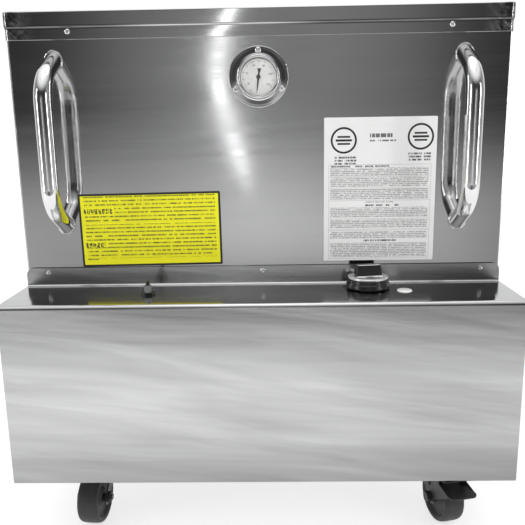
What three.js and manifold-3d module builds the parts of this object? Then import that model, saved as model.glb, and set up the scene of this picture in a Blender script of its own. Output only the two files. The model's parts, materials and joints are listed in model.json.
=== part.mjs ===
// A heated, double-walled stainless soaking tank on four castors, with a control box across the foot
// of its front. Millimetres, +Z up. The origin is on the floor, at the middle of the whole footprint,
// and the front of the tank looks along -Y.
import * as THREE from 'three';
import { mergeVertices } from 'three/addons/utils/BufferGeometryUtils.js';
import Module from 'manifold-3d';

const wasm = await Module();
wasm.setup();

// ---- Driving dimensions

const GAP = 0.3; // left between pieces that touch
const SHEET = 1.5; // casing, cover, rim and lid sheet
const FLOOR_TO_BODY = 100; // height that the castors give

const TANK = { halfWidth: 350, front: -230, rear: 270, corner: 3 };
const RIM = { bottom: 709, crease: 725, top: 747, stripProud: 1.8, bandProud: 3.2, drop: 22 };
const LINER = { inset: 32, bottom: 185, corner: 14 };
const WRAP = { bottom: 153, top: 742, corner: 20 };
const PAN = { z: 101.8, sheet: 2, lip: 16 };
const BOX = { front: -346, top: 357, flangeTop: 385.5, flangeCorner: 10, lip: 14 };
const HANDLE = { x: 286, top: 681, bottom: 450, reach: 56, lean: 30, bend: 28, radius: 12 };
const GAUGE = { x: 0.5, z: 654.5, flange: 42, bezel: 30, dial: 24.9, cup: 26.4, stem: 3.5, reach: 64 };
const NEEDLE = { length: 19.5, tail: 11.5, turn: -7.4 };
const RATING = { x: 172.3, z: 494.5, width: 160, height: 206, turn: 0 };
const NOTICE = { x: -161.7, z: 441.3, width: 208, height: 108, turn: 0.6 };
const LABEL_SHEET = 0.3;
const KNOB = { x: 153, y: -264.5, turn: 9, foot: 31.6, shoulder: 28.6, height: 15.5, ringTop: 19, hub: 12 };
const KNOB_BAR = { low: 39, high: 35, height: 15.7, depth: 14 };
const LAMP = { x: 201.5, y: -285, lens: 10.8, body: 8.7 };
const RESET = { x: -158, y: -291, nut: 10.3, thread: 5.2, plunger: 2.7 };
const THERMOSTAT_DEPTH = 34;
const GLAND = { x: -60, y: -290, thread: 8, nut: 12, bore: 4.5 };
const CONTACTOR = { x: -223, y: -270, width: 54, depth: 60, height: 76 };
const TERMINALS = { x: -125, y: -290, width: 70, depth: 24, ways: 4 };
const HEATER = { x: 0, z: 224, flange: 40, bore: 33, rod: 5.5, pitch: 50, length: 380 };
const BULB = { x: KNOB.x, z: 262, radius: 5, length: 34, capillary: 1.5 };
const LID = { setBack: 13, z: 747.3, skirt: 20, rise: 4, panelInset: 60 };
const LID_HANDLE = { halfSpan: 75, height: 34, bend: 14, radius: 6 };
const BASKET = { halfWidth: 300, front: -145, rear: 215, bottom: 248.3, top: 690, wall: 2, corner: 12 };
const BAIL = { halfSpan: 48, top: 725, bend: 14, radius: 5 };
const RAIL = { reach: 31, leg: 23, sheet: 2 };
const DRAIN = { x: -200, z: 207, pipe: 13, bore: 10, valveStart: 290, valveEnd: 346, ball: 13 };
const CASTOR = { left: -256, right: 264, front: -254, rear: 215, trail: 24, wheel: 38, halfTread: 16, leg: 17.6, axle: 38 };
const CASTOR_TURN = { front_left: -5, front_right: 14, rear_left: 168, rear_right: 201 };
const PEDAL = { tip: -86, root: -54, z: 66, upperTip: -66, upperRoot: -38, upperZ: 81.5, sheet: 2.5 };

const TANK_MIDDLE_Y = (TANK.front + TANK.rear) / 2;
const UNDER_RIM = RIM.top - SHEET - GAP;
const UNDER_LEDGE = BOX.top - SHEET - GAP;
const PAN_FLOOR = PAN.z + PAN.sheet + GAP;
const LINER_FACE = LINER.inset + SHEET; // how far the wet side lies inside the casing's outer face
const VALVE_MIDDLE = (DRAIN.valveStart + DRAIN.valveEnd) / 2;

// ---- Solids: three.js geometry, joined and cut by manifold-3d

// A closed three.js geometry as a solid.
function solid(geometry) {
  const bare = geometry.index ? geometry.toNonIndexed() : geometry.clone();
  bare.deleteAttribute('normal');
  bare.deleteAttribute('uv');
  const merged = mergeVertices(bare, 1e-4);
  const mesh = new wasm.Mesh({
    numProp: 3,
    vertProperties: new Float32Array(merged.attributes.position.array),
    triVerts: new Uint32Array(merged.index.array),
  });
  return new wasm.Manifold(mesh);
}

const join = (...parts) => parts.reduce((whole, part) => whole.add(part));
const cut = (whole, ...tools) => tools.reduce((left, tool) => left.subtract(tool), whole);

function geometryOf(part) {
  const { vertProperties, triVerts } = part.getMesh();
  const geometry = new THREE.BufferGeometry();
  geometry.setAttribute('position', new THREE.BufferAttribute(vertProperties, 3));
  geometry.setIndex(new THREE.BufferAttribute(triVerts, 1));
  return geometry;
}

// A block between two corners; each pair may be given in either order.
function box(xa, xb, ya, yb, za, zb) {
  const geometry = new THREE.BoxGeometry(Math.abs(xb - xa), Math.abs(yb - ya), Math.abs(zb - za));
  return solid(geometry.translate((xa + xb) / 2, (ya + yb) / 2, (za + zb) / 2));
}

function roundedRectangle(x0, x1, y0, y1, r) {
  const shape = new THREE.Shape();
  shape.absarc(x1 - r, y0 + r, r, -Math.PI / 2, 0);
  shape.absarc(x1 - r, y1 - r, r, 0, Math.PI / 2);
  shape.absarc(x0 + r, y1 - r, r, Math.PI / 2, Math.PI);
  shape.absarc(x0 + r, y0 + r, r, Math.PI, 1.5 * Math.PI);
  shape.closePath();
  return shape;
}

// A quarter circle gets twice as many segments as `curveSegments`.
function extruded(shape, z0, z1, curveSegments = 1) {
  const geometry = new THREE.ExtrudeGeometry(shape, { depth: z1 - z0, bevelEnabled: false, curveSegments });
  return solid(geometry.translate(0, 0, z0));
}

// A block with the tank's plan, its sides moved out by `out`, or in where that is negative.
function tankBlock(out, z0, z1, corner) {
  const x = TANK.halfWidth + out;
  return extruded(roundedRectangle(-x, x, TANK.front - out, TANK.rear + out, corner), z0, z1);
}

// The wall between two such blocks, with concentric corners where there is room for them.
function tankWall(outer, inner, z0, z1, corner) {
  const innerCorner = Math.max(0.5, corner + inner - outer);
  return cut(tankBlock(outer, z0, z1, corner), tankBlock(inner, z0 - 1, z1 + 1, innerCorner));
}

// Points are [radius, height] and run from the axis to the axis; the solid turns about +Z.
function turned(points, segments = 24) {
  const profile = points.map(([r, h]) => new THREE.Vector2(r, h));
  return solid(new THREE.LatheGeometry(profile, segments).rotateX(Math.PI / 2));
}

// The same with a bore: the profile closes on itself.
const ring = (points, segments) => turned([...points, points[0]], segments);
const rod = (r, h0, h1, segments = 16) => turned([[0, h0], [r, h0], [r, h1], [0, h1]], segments);
const rodX = (r, x0, x1, segments) => rod(r, x0, x1, segments).rotate([0, 90, 0]);
const rodY = (r, y0, y1, segments) => rod(r, -y1, -y0, segments).rotate([90, 0, 0]);

// A hole through the tank's walls, or a rod along one.
const acrossTank = ({ x, z }, r, y0, y1) => rodY(r, y0, y1, 24).translate([x, 0, z]);

// A path through the points, each corner rounded over the length `bend`.
function roundedPath(points, bend) {
  const roundness = 0.5523; // pulls a cubic curve onto a quarter circle
  const path = new THREE.CurvePath();
  const corners = points.map((point) => new THREE.Vector3(...point));
  let from = corners[0];
  for (let i = 1; i < corners.length - 1; i += 1) {
    const corner = corners[i];
    const before = corner.clone().add(corners[i - 1].clone().sub(corner).setLength(bend));
    const after = corner.clone().add(corners[i + 1].clone().sub(corner).setLength(bend));
    const pullIn = before.clone().lerp(corner, roundness);
    const pullOut = after.clone().lerp(corner, roundness);
    path.add(new THREE.LineCurve3(from, before));
    path.add(new THREE.CubicBezierCurve3(before, pullIn, pullOut, after));
    from = after;
  }
  path.add(new THREE.LineCurve3(from, corners[corners.length - 1]));
  return path;
}

function tube(points, bend, radius, steps, sides) {
  const section = new THREE.Shape();
  section.absarc(0, 0, radius, 0, 2 * Math.PI);
  const extrudePath = roundedPath(points, bend);
  return solid(new THREE.ExtrudeGeometry(section, { steps, extrudePath, curveSegments: sides / 2 }));
}

// Two legs and a bar between them, standing on a face: drawn in X and Z, with feet at z = 0.
function bow(halfSpan, height, bend, radius, steps, sides) {
  const corners = [[-halfSpan, 0, 0], [-halfSpan, 0, height], [halfSpan, 0, height], [halfSpan, 0, 0]];
  return tube(corners, bend, radius, steps, sides);
}

// A plate with its outline drawn in Y and Z, between two values of X.
const sidePlate = (outline, x0, x1) => extruded(outline, x0, x1, 3).rotate([90, 0, 90]);

// ---- Materials

const metal = (color, roughness) => new THREE.MeshStandardMaterial({ color, roughness, metalness: 1 });
const plain = (color, roughness) => new THREE.MeshStandardMaterial({ color, roughness });

const brushedSteel = () => metal(0xb4b5b6, 0.34);
const millSteel = () => metal(0xa5a6a6, 0.5);
const polishedSteel = () => metal(0xc9cacb, 0.14);
const zincPlate = () => metal(0x9fa1a3, 0.38);
const blackSteel = () => metal(0x26262a, 0.5);
const brass = () => metal(0xb48a3c, 0.3);
const copper = () => metal(0xb87350, 0.35);
const blackPlastic = () => plain(0x141414, 0.42);
const tyreBlack = () => plain(0x1c1c1e, 0.7);
const woolYellow = () => plain(0xc9b26a, 0.95);
const whitePaper = () => plain(0xf3f3f1, 0.5);
const yellowPaper = () => plain(0xf2e21c, 0.5);
const lampWhite = () => plain(0xfbfbf6, 0.3);
const greyPlastic = () => plain(0x5a5c60, 0.5);

function clearGlass() {
  return new THREE.MeshStandardMaterial({ color: 0xffffff, roughness: 0.05, transparent: true, opacity: 0.25 });
}

// ---- The assembly: one named mesh for each piece, in groups that place them

const group = new THREE.Group();

function placed(x, y, z, parent = group) {
  const place = new THREE.Group();
  place.position.set(x, y, z);
  parent.add(place);
  return place;
}

function piece(name, part, material, parent = group) {
  const mesh = new THREE.Mesh(geometryOf(part), material);
  mesh.name = name;
  parent.add(mesh);
}

// ---- The double-walled tank

function outerCasing() {
  const walls = tankWall(0, -SHEET, FLOOR_TO_BODY, UNDER_RIM, TANK.corner);
  const inX = TANK.halfWidth - SHEET;
  const outside = TANK.front - 1;
  const inside = TANK.front + SHEET + 1;
  return cut(
    walls,
    box(-inX, inX, outside, inside + TANK.corner, FLOOR_TO_BODY - 1, PAN_FLOOR),
    acrossTank(GAUGE, GAUGE.cup + 2 * GAP, outside, inside),
    acrossTank(HEATER, HEATER.flange + 2, outside, inside),
    acrossTank(BULB, BULB.radius + 2, outside, inside),
    acrossTank(DRAIN, DRAIN.pipe + GAP, TANK.rear - SHEET - 1, TANK.rear + 1),
  );
}

function tankLiner() {
  const frontWall = [TANK.front + LINER.inset - 1, TANK.front + LINER_FACE + 1];
  const rearWall = [TANK.rear - LINER_FACE - 1, TANK.rear - LINER.inset + 1];
  return cut(
    tankBlock(-LINER.inset, LINER.bottom, UNDER_RIM, LINER.corner),
    tankBlock(-LINER_FACE, LINER.bottom + SHEET, UNDER_RIM + 1, LINER.corner - SHEET),
    acrossTank(GAUGE, GAUGE.stem + GAP, ...frontWall),
    acrossTank(HEATER, HEATER.bore, ...frontWall),
    acrossTank(BULB, BULB.radius + GAP, ...frontWall),
    acrossTank(DRAIN, DRAIN.pipe + GAP, ...rearWall),
  );
}

// Mineral wool between the two walls, with a way through it for each fitting.
function insulationJacket() {
  const frontWall = [TANK.front, TANK.front + LINER.inset + 1];
  return cut(
    tankWall(-SHEET - GAP, -LINER.inset + GAP, WRAP.bottom, WRAP.top, WRAP.corner),
    acrossTank(GAUGE, GAUGE.cup + 2, ...frontWall),
    acrossTank(HEATER, HEATER.flange + 2, ...frontWall),
    acrossTank(BULB, BULB.radius + 2, ...frontWall),
    acrossTank(DRAIN, DRAIN.pipe + 2, TANK.rear - LINER.inset - 1, TANK.rear),
  );
}

const insulationFloor = () => tankBlock(-LINER.inset, WRAP.bottom, LINER.bottom - GAP, LINER.corner);

// The screwed strip, the step out to the band, the flat top and the drop inside the liner.
function rimFrame() {
  const dropOut = -LINER_FACE - GAP;
  const dropIn = dropOut - SHEET;
  const dropCorner = LINER.corner - SHEET - GAP;
  return join(
    tankWall(RIM.stripProud, GAP, RIM.bottom, RIM.crease + 1, TANK.corner),
    tankWall(RIM.bandProud, GAP, RIM.crease, RIM.crease + SHEET, TANK.corner),
    tankWall(RIM.bandProud, RIM.bandProud - SHEET, RIM.crease, RIM.top, TANK.corner),
    cut(
      tankBlock(RIM.bandProud, RIM.top - SHEET, RIM.top, TANK.corner),
      tankBlock(dropIn, RIM.top - SHEET - 1, RIM.top + 1, dropCorner - SHEET),
    ),
    tankWall(dropOut, dropIn, RIM.top - RIM.drop, RIM.top, dropCorner),
  );
}

// One tray under the tank and the control box, with turned-up edges under the tank only.
function basePan() {
  const x = TANK.halfWidth - SHEET - GAP;
  const front = BOX.front + SHEET + GAP;
  const rear = TANK.rear - SHEET - GAP;
  const floor = PAN.z + PAN.sheet;
  const lipTop = PAN.z + PAN.lip;
  return cut(
    extruded(roundedRectangle(-x, x, front, rear, 2), PAN.z, lipTop),
    box(-x + PAN.sheet, x - PAN.sheet, front - 1, rear - PAN.sheet, floor, lipTop + 1),
    box(-x - 1, x + 1, front - 1, TANK.front + SHEET + TANK.corner, floor, lipTop + 1),
    rod(GLAND.thread + GAP, PAN.z - 1, floor + 1).translate([GLAND.x, GLAND.y, 0]),
  );
}

// An angle on the liner's end wall that the basket stands on.
function basketRail(side) {
  const wall = side * (TANK.halfWidth - LINER_FACE - GAP);
  const top = BASKET.bottom - GAP;
  const { front, rear } = BASKET;
  return join(
    box(wall, wall - side * RAIL.reach, front, rear, top - RAIL.sheet, top),
    box(wall, wall - side * RAIL.sheet, front, rear, top - RAIL.leg, top),
  );
}

piece('outer_casing', outerCasing(), brushedSteel());
piece('tank_liner', tankLiner(), millSteel());
piece('insulation_jacket', insulationJacket(), woolYellow());
piece('insulation_floor', insulationFloor(), woolYellow());
piece('rim_frame', rimFrame(), brushedSteel());
piece('base_pan', basePan(), millSteel());
piece('basket_rail_left', basketRail(-1), millSteel());
piece('basket_rail_right', basketRail(1), millSteel());

// ---- The control box on the front

// Upright against the tank, with round top corners.
function coverFlange() {
  const x = TANK.halfWidth;
  const r = BOX.flangeCorner;
  const height = BOX.flangeTop - BOX.top + SHEET;
  const outline = new THREE.Shape();
  outline.moveTo(-x, 0);
  outline.lineTo(x, 0);
  outline.absarc(x - r, height - r, r, 0, Math.PI / 2);
  outline.absarc(-x + r, height - r, r, Math.PI / 2, Math.PI);
  outline.closePath();
  return extruded(outline, 0, SHEET).rotate([90, 0, 0]).translate([0, TANK.front - GAP, BOX.top - SHEET]);
}

// Front, ledge, turned-in bottom edge and upturned flange, all from one sheet.
function controlBoxCover() {
  const x = TANK.halfWidth;
  const { front, top, lip } = BOX;
  const throughLedge = (place, r) => rod(r, top - SHEET - 1, top + 1, 20).translate([place.x, place.y, 0]);
  const sheet = join(
    box(-x, x, front, front + SHEET, FLOOR_TO_BODY, top),
    box(-x, x, front, TANK.front - GAP, top - SHEET, top),
    box(-x, x, front, front + lip, FLOOR_TO_BODY, FLOOR_TO_BODY + SHEET),
    coverFlange(),
  );
  return cut(
    sheet,
    throughLedge(KNOB, 5),
    throughLedge(LAMP, LAMP.body + GAP),
    throughLedge(RESET, RESET.thread + GAP),
  );
}

// A plate that closes the cover's open end, its front edge turned in behind the cover.
function controlBoxEnd(side) {
  const outer = side * TANK.halfWidth;
  const front = BOX.front + SHEET + GAP;
  return join(
    box(outer, outer - side * SHEET, front, TANK.front - GAP, FLOOR_TO_BODY + SHEET + GAP, UNDER_LEDGE),
    box(outer, outer - side * 16, front, front + SHEET, PAN_FLOOR, UNDER_LEDGE),
  );
}

function contactor() {
  const { width, depth, height } = CONTACTOR;
  const step = 14;
  return join(
    box(-width / 2, width / 2, -depth / 2, depth / 2, 0, height * 0.7),
    box(-width / 2, width / 2, -depth / 2 + step, depth / 2 - step, 0, height),
  );
}

function terminalBlock() {
  const { width, depth, ways } = TERMINALS;
  const ribs = Array.from({ length: ways + 1 }, (_, i) => {
    const x = -width / 2 + (i * (width - 2)) / ways;
    return box(x, x + 2, -depth / 2, depth / 2, 7, 22);
  });
  return join(box(-width / 2, width / 2, -depth / 2, depth / 2, 0, 8), ...ribs);
}

// A dome nut under the pan and a threaded neck up through it.
function cableGland() {
  const { bore, nut, thread } = GLAND;
  const neckTop = PAN.sheet + 9;
  return ring([
    [bore, -22], [nut - 4, -22], [nut, -18], [nut, -GAP], [thread, -GAP], [thread, neckTop], [bore, neckTop],
  ]);
}

piece('control_box_cover', controlBoxCover(), brushedSteel());
piece('control_box_end_left', controlBoxEnd(-1), brushedSteel());
piece('control_box_end_right', controlBoxEnd(1), brushedSteel());
piece('contactor', contactor(), greyPlastic(), placed(CONTACTOR.x, CONTACTOR.y, PAN_FLOOR));
piece('terminal_block', terminalBlock(), greyPlastic(), placed(TERMINALS.x, TERMINALS.y, PAN_FLOOR));
piece('cable_gland', cableGland(), blackPlastic(), placed(GLAND.x, GLAND.y, PAN.z));

// ---- Controls on the ledge: each is drawn from the ledge's top face

// Base, hub, bar grip, and the shaft that goes down through the ledge.
function thermostatKnob() {
  const { foot, shoulder, hub, ringTop } = KNOB;
  const { low, high, height, depth } = KNOB_BAR;
  const grip = new THREE.Shape();
  grip.moveTo(-low / 2, 0);
  grip.lineTo(low / 2, 0);
  grip.lineTo(high / 2, height);
  grip.lineTo(-high / 2, height);
  return join(
    turned([[0, 0.6], [foot - 5, 0.6], [foot, 4], [shoulder, KNOB.height], [0, KNOB.height]], 28),
    rod(hub, KNOB.height - 1, ringTop + 1),
    extruded(grip, -depth / 2, depth / 2).rotate([90, 0, 0]).translate([0, 0, ringTop + GAP]),
    rod(3, -12, 2, 12),
  );
}

function knobRing() {
  const bore = KNOB.hub + GAP;
  const low = KNOB.height + GAP;
  return ring([[bore, low], [KNOB.shoulder, low], [KNOB.shoulder - 0.5, KNOB.ringTop], [bore, KNOB.ringTop]], 28);
}

function thermostatBody() {
  const top = -SHEET - GAP;
  return cut(box(-22, 22, -20, 20, top - THERMOSTAT_DEPTH, top), rod(3.4, top - 12, top + 1));
}

// The bulb in the bath, and the capillary that joins it to the thermostat.
function thermostatBulb() {
  const wall = TANK.front + LINER.inset;
  const { x, z, radius, length, capillary } = BULB;
  const start = UNDER_LEDGE - THERMOSTAT_DEPTH - GAP;
  const route = [[x, KNOB.y, start], [x, KNOB.y, z], [x, wall - 2, z]];
  return join(acrossTank(BULB, radius, wall - 3, wall + length), tube(route, 18, capillary, 10, 6));
}

// Body under the ledge, with a threaded neck up through it and a bore for the plunger.
function limitThermostat() {
  const top = -SHEET - GAP;
  const block = box(-17, 17, -17, 17, top - 26, top);
  return cut(join(block, rod(RESET.thread, top - 1, 15, 20)), rod(RESET.plunger + GAP, -12, 16));
}

function resetCollar() {
  const bore = RESET.thread + GAP;
  return ring([[bore, GAP], [RESET.nut, GAP], [RESET.nut, 1.6], [8.4, 1.6], [8.4, 4], [bore, 4]]);
}

const resetButton = () => rod(RESET.plunger, -8, 21);
const pilotLampBody = () => rod(LAMP.body, -30, 0, 20);

function pilotLampLens() {
  const { lens } = LAMP;
  return turned([[0, GAP], [lens, GAP], [lens, 1.5], [9, 2.9], [5, 3.5], [0, 3.7]]);
}

const knobPlace = placed(KNOB.x, KNOB.y, BOX.top);
knobPlace.rotation.z = THREE.MathUtils.degToRad(KNOB.turn);
piece('thermostat_knob', thermostatKnob(), blackPlastic(), knobPlace);
piece('knob_ring', knobRing(), polishedSteel(), knobPlace);
piece('thermostat_body', thermostatBody(), greyPlastic(), placed(KNOB.x, KNOB.y, BOX.top));
piece('thermostat_bulb', thermostatBulb(), copper());

const resetPlace = placed(RESET.x, RESET.y, BOX.top);
piece('limit_thermostat_body', limitThermostat(), blackPlastic(), resetPlace);
piece('reset_collar', resetCollar(), zincPlate(), resetPlace);
piece('reset_button', resetButton(), lampWhite(), resetPlace);

const lampPlace = placed(LAMP.x, LAMP.y, BOX.top);
piece('pilot_lamp_body', pilotLampBody(), blackPlastic(), lampPlace);
piece('pilot_lamp_lens', pilotLampLens(), lampWhite(), lampPlace);

// ---- Fittings on the tank's face

// A bowed tube whose legs lean inward. Its feet are drawn on past the face, then cut flush with it.
function handle() {
  const { top, bottom, reach, lean, bend, radius } = HANDLE;
  const buried = 0.35;
  const half = (top - bottom) / 2;
  const out = reach - GAP;
  const foot = half + lean * buried;
  const knee = half - lean;
  const corners = [[-foot, 0, -out * buried], [-knee, 0, out], [knee, 0, out], [foot, 0, -out * buried]];
  const bowed = tube(corners, bend, radius, 20, 14);
  return cut(bowed, box(-half - 2 * radius, half + 2 * radius, -2 * radius, 2 * radius, -out, 0));
}

// Each handle's bow is drawn standing on the face, then turned so that its bar is upright.
for (const [name, side] of [['handle_left', -1], ['handle_right', 1]]) {
  const place = placed(side * HANDLE.x, TANK.front - GAP, (HANDLE.top + HANDLE.bottom) / 2);
  place.rotation.set(Math.PI / 2, Math.PI / 2, 0, 'YXZ');
  piece(name, handle(), polishedSteel(), place);
}

// The gauge's parts turn about its own axis, and their +Z looks out of the face.
function gaugeFlange() {
  const { cup, flange, dial } = GAUGE;
  const bore = dial + GAP;
  return turned([
    [0, -10], [cup, -10], [cup, GAP], [flange, GAP], [flange, 1.4], [flange - 1.2, 2.2],
    [31, 3.2], [bore, 3.2], [bore, -9], [0, -9],
  ], 28);
}

function gaugeBezel() {
  const { bezel } = GAUGE;
  return ring([
    [26.8, 3.5], [bezel, 3.5], [bezel, 6.5], [bezel - 0.7, 8.5],
    [27.4, 9.6], [25.3, 9], [25.3, 7.4], [26.8, 7.4],
  ], 28);
}

// A tapered needle that points down, with a broad tail and a hub.
function gaugePointer() {
  const needle = new THREE.Shape();
  needle.moveTo(-1.1, 0);
  needle.lineTo(-0.25, -NEEDLE.length);
  needle.lineTo(0.25, -NEEDLE.length);
  needle.lineTo(1.1, 0);
  needle.lineTo(1.9, NEEDLE.tail);
  needle.lineTo(-1.9, NEEDLE.tail);
  return join(extruded(needle, 2.6, 3.2), rod(2.6, 2.2, 4.4, 12));
}

const gaugePlace = placed(GAUGE.x, TANK.front, GAUGE.z);
gaugePlace.rotation.x = Math.PI / 2;
piece('thermometer_flange', gaugeFlange(), polishedSteel(), gaugePlace);
piece('thermometer_bezel', gaugeBezel(), polishedSteel(), gaugePlace);
piece('thermometer_dial', rod(GAUGE.dial, 1, 1.8, 28), whitePaper(), gaugePlace);
piece('thermometer_glass', rod(26.5, 5.8, 7.1, 28), clearGlass(), gaugePlace);
piece('thermometer_stem', rod(GAUGE.stem, -GAUGE.reach, -10 - GAP, 12), polishedSteel(), gaugePlace);

const pointerPlace = placed(0, 0, 0, gaugePlace);
pointerPlace.rotation.z = THREE.MathUtils.degToRad(NEEDLE.turn);
piece('thermometer_pointer', gaugePointer(), blackPlastic(), pointerPlace);

function label(name, { x, z, width, height, turn }, material) {
  const place = placed(x, TANK.front - GAP, z);
  place.rotation.y = THREE.MathUtils.degToRad(-turn);
  piece(name, box(-width / 2, width / 2, -LABEL_SHEET, 0, -height / 2, height / 2), material, place);
}

label('rating_label', RATING, whitePaper());
label('notice_label', NOTICE, yellowPaper());

// ---- Heating and draining

// A disc on the dry side of the liner, with the element's two terminals on it.
function heaterFlange() {
  const wall = TANK.front + LINER.inset - GAP;
  const terminals = [-1, 1].map((side) => {
    const x = HEATER.x + (side * HEATER.pitch) / 2;
    return acrossTank({ x, z: HEATER.z }, 7, wall - 50, wall - 6);
  });
  return join(acrossTank(HEATER, HEATER.flange, wall - 7, wall), ...terminals);
}

// A hairpin that lies over the tank's floor.
function heatingElement() {
  const { x, z, pitch, length, rod: radius } = HEATER;
  const start = TANK.front + LINER.inset;
  const end = start + length;
  const legs = [x - pitch / 2, x + pitch / 2];
  const route = [[legs[0], start, z], [legs[0], end, z], [legs[1], end, z], [legs[1], start, z]];
  return tube(route, pitch / 2 - 0.5, radius, 36, 6);
}

piece('heater_flange', heaterFlange(), brass());
piece('heating_element', heatingElement(), millSteel());

// The drain's parts are drawn about the middle of the ball.
function drainPipe() {
  const { pipe, bore, valveStart } = DRAIN;
  const start = TANK.rear - LINER.inset - 10 - VALVE_MIDDLE;
  const end = valveStart - GAP - VALVE_MIDDLE;
  return cut(rodY(pipe, start, end, 20), rodY(bore, start - 1, end + 1, 20));
}

// A ball valve's straight bore, round cavity and the neck that its stem turns in.
function drainValveBody() {
  const { bore, ball, valveStart, valveEnd } = DRAIN;
  const half = (valveEnd - valveStart) / 2;
  const shell = join(rodY(19, -half + 8, half - 8, 18), rodY(16.5, -half, half, 6), rod(8, 0, 25));
  const cavity = solid(new THREE.SphereGeometry(ball + 1, 14, 8));
  return cut(shell, rodY(bore, -half - 1, half + 1, 16), cavity, rod(4.4, 0, 30));
}

// Shut at rest: the hole through the ball lies across the pipe.
function drainBall() {
  const { ball, bore } = DRAIN;
  return cut(solid(new THREE.SphereGeometry(ball, 14, 8)), rodX(bore - 1, -ball - 1, ball + 1));
}

function drainLever() {
  const plate = extruded(roundedRectangle(-7, 74, -7, 7, 6.8), 27, 29.5);
  return join(plate, rod(5.5, 29, 34, 6), rod(4, DRAIN.ball + GAP, 28));
}

const drainPlace = placed(DRAIN.x, VALVE_MIDDLE, DRAIN.z);
piece('drain_pipe', drainPipe(), millSteel(), drainPlace);
piece('drain_valve_body', drainValveBody(), brass(), drainPlace);
piece('drain_ball', drainBall(), polishedSteel(), drainPlace);
piece('drain_lever', drainLever(), zincPlate(), drainPlace);

// ---- Lid and basket

// A folded sheet that rests on the rim, with a shallow raised panel and a skirt inside the opening.
function lid() {
  const { setBack, z, skirt, rise, panelInset } = LID;
  const skirtOut = -LINER_FACE - GAP - SHEET - 1.2;
  const shell = join(
    tankBlock(-setBack, z, z + SHEET, 6),
    tankBlock(-panelInset, z, z + SHEET + rise, 16),
    tankWall(skirtOut, skirtOut - SHEET, z - skirt, z + 0.5, LINER.corner - 4),
  );
  return cut(shell, tankBlock(-panelInset - SHEET, z - 1, z + rise, 16 - SHEET));
}

function lidHandle() {
  const { halfSpan, height, bend, radius } = LID_HANDLE;
  return bow(halfSpan, height - radius, bend, radius, 18, 10);
}

// A wire basket's outer shape: a thin tub, and a bail standing on each end wall.
function basket() {
  const { halfWidth, front, rear, bottom, top, wall, corner } = BASKET;
  const { halfSpan, bend, radius } = BAIL;
  const x = halfWidth - wall;
  const inner = roundedRectangle(-x, x, front + wall, rear - wall, corner - wall);
  const outer = roundedRectangle(-halfWidth, halfWidth, front, rear, corner);
  const tub = cut(extruded(outer, bottom, top), extruded(inner, bottom + wall, top + 1));
  const foot = top - 15;
  const bails = [-1, 1].map((side) => {
    const bail = bow(halfSpan, BAIL.top - radius - foot, bend, radius, 14, 6).rotate([0, 0, 90]);
    return bail.translate([side * (halfWidth - 1), (front + rear) / 2, foot]);
  });
  return join(tub, ...bails);
}

piece('lid', lid(), brushedSteel());
piece('lid_handle', lidHandle(), polishedSteel(), placed(0, TANK_MIDDLE_Y, LID.z + SHEET + LID.rise + GAP));
piece('basket', basket(), millSteel());

// ---- Castors: drawn with the swivel axis at the origin and the wheel trailing to -Y

function castorPlate() {
  const top = PAN.z - GAP;
  return join(
    extruded(roundedRectangle(-30, 30, -38, 38, 6), top - 2.7, top),
    turned([[0, 92.4], [20, 92.4], [23, 95], [23, top - 2], [0, top - 2]]),
    rod(5, 84.5, 93, 16),
  );
}

// A wide outline beside the crown that runs down to a round eye at the axle.
function legOutline() {
  const { trail, axle } = CASTOR;
  const eye = 12;
  const outline = new THREE.Shape();
  outline.moveTo(-19, 90);
  outline.absarc(-trail, axle, eye, Math.PI, 2 * Math.PI);
  outline.absarc(18, 71, 7, -Math.PI / 2, 0);
  outline.lineTo(25, 90);
  return outline;
}

const onAxle = (part) => part.translate([0, -CASTOR.trail, CASTOR.axle]);

// A crown disc with a hole for the kingpin, and a leg on each side of the wheel.
function castorFork() {
  const { leg } = CASTOR;
  const outline = legOutline();
  return cut(
    join(rod(25, 83.2, 92, 24), sidePlate(outline, -leg - 2, -leg), sidePlate(outline, leg, leg + 2)),
    rod(5.5, 82, 93, 16),
    onAxle(rodX(4.8, -30, 30)),
  );
}

// A bolt with a hex head and nut, set out further where a pedal's cheeks lie under them.
function castorAxle(braked) {
  const under = CASTOR.leg + 2 + GAP + (braked ? 2.2 : 0);
  return onAxle(join(rodX(4.5, -27, 27, 14), rodX(8, -under - 6.5, -under, 6), rodX(8, under, under + 5, 6)));
}

function castorWheel() {
  const { wheel, halfTread } = CASTOR;
  const half = [[12, 17.2], [12, 13], [28, 13], [29, 16], [35, 14], [wheel, 9.5]];
  const hub = halfTread + 1.2;
  const low = half.map(([r, x]) => [r, -x]);
  const high = [...half].reverse();
  return onAxle(ring([[5, -hub], ...low, ...high, [5, hub]], 24).rotate([0, 90, 0]));
}

// Two leaves between two cheeks that hang on the axle, so that it swings clear round the wheel.
function brakePedal() {
  const { trail, axle, leg } = CASTOR;
  const { tip, root, z, upperTip, upperRoot, upperZ, sheet } = PEDAL;
  const cheek = new THREE.Shape();
  cheek.moveTo(-44, upperZ + sheet);
  cheek.lineTo(-50, z + sheet + 4);
  cheek.lineTo(-74, z + sheet);
  cheek.lineTo(-74, z - 3);
  cheek.absarc(-trail, axle, 9, Math.PI, 2 * Math.PI);
  cheek.lineTo(upperRoot, upperZ + sheet);
  const inner = leg + 2 + GAP;
  const outer = inner + 1.8;
  const whole = join(
    sidePlate(cheek, -outer, -inner),
    sidePlate(cheek, inner, outer),
    extruded(roundedRectangle(-outer, outer, tip, root, 9), z, z + sheet, 3),
    extruded(roundedRectangle(-outer, outer, upperTip, upperRoot, 5), upperZ, upperZ + sheet),
  );
  return cut(whole, onAxle(rodX(5, -30, 30)));
}

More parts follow.
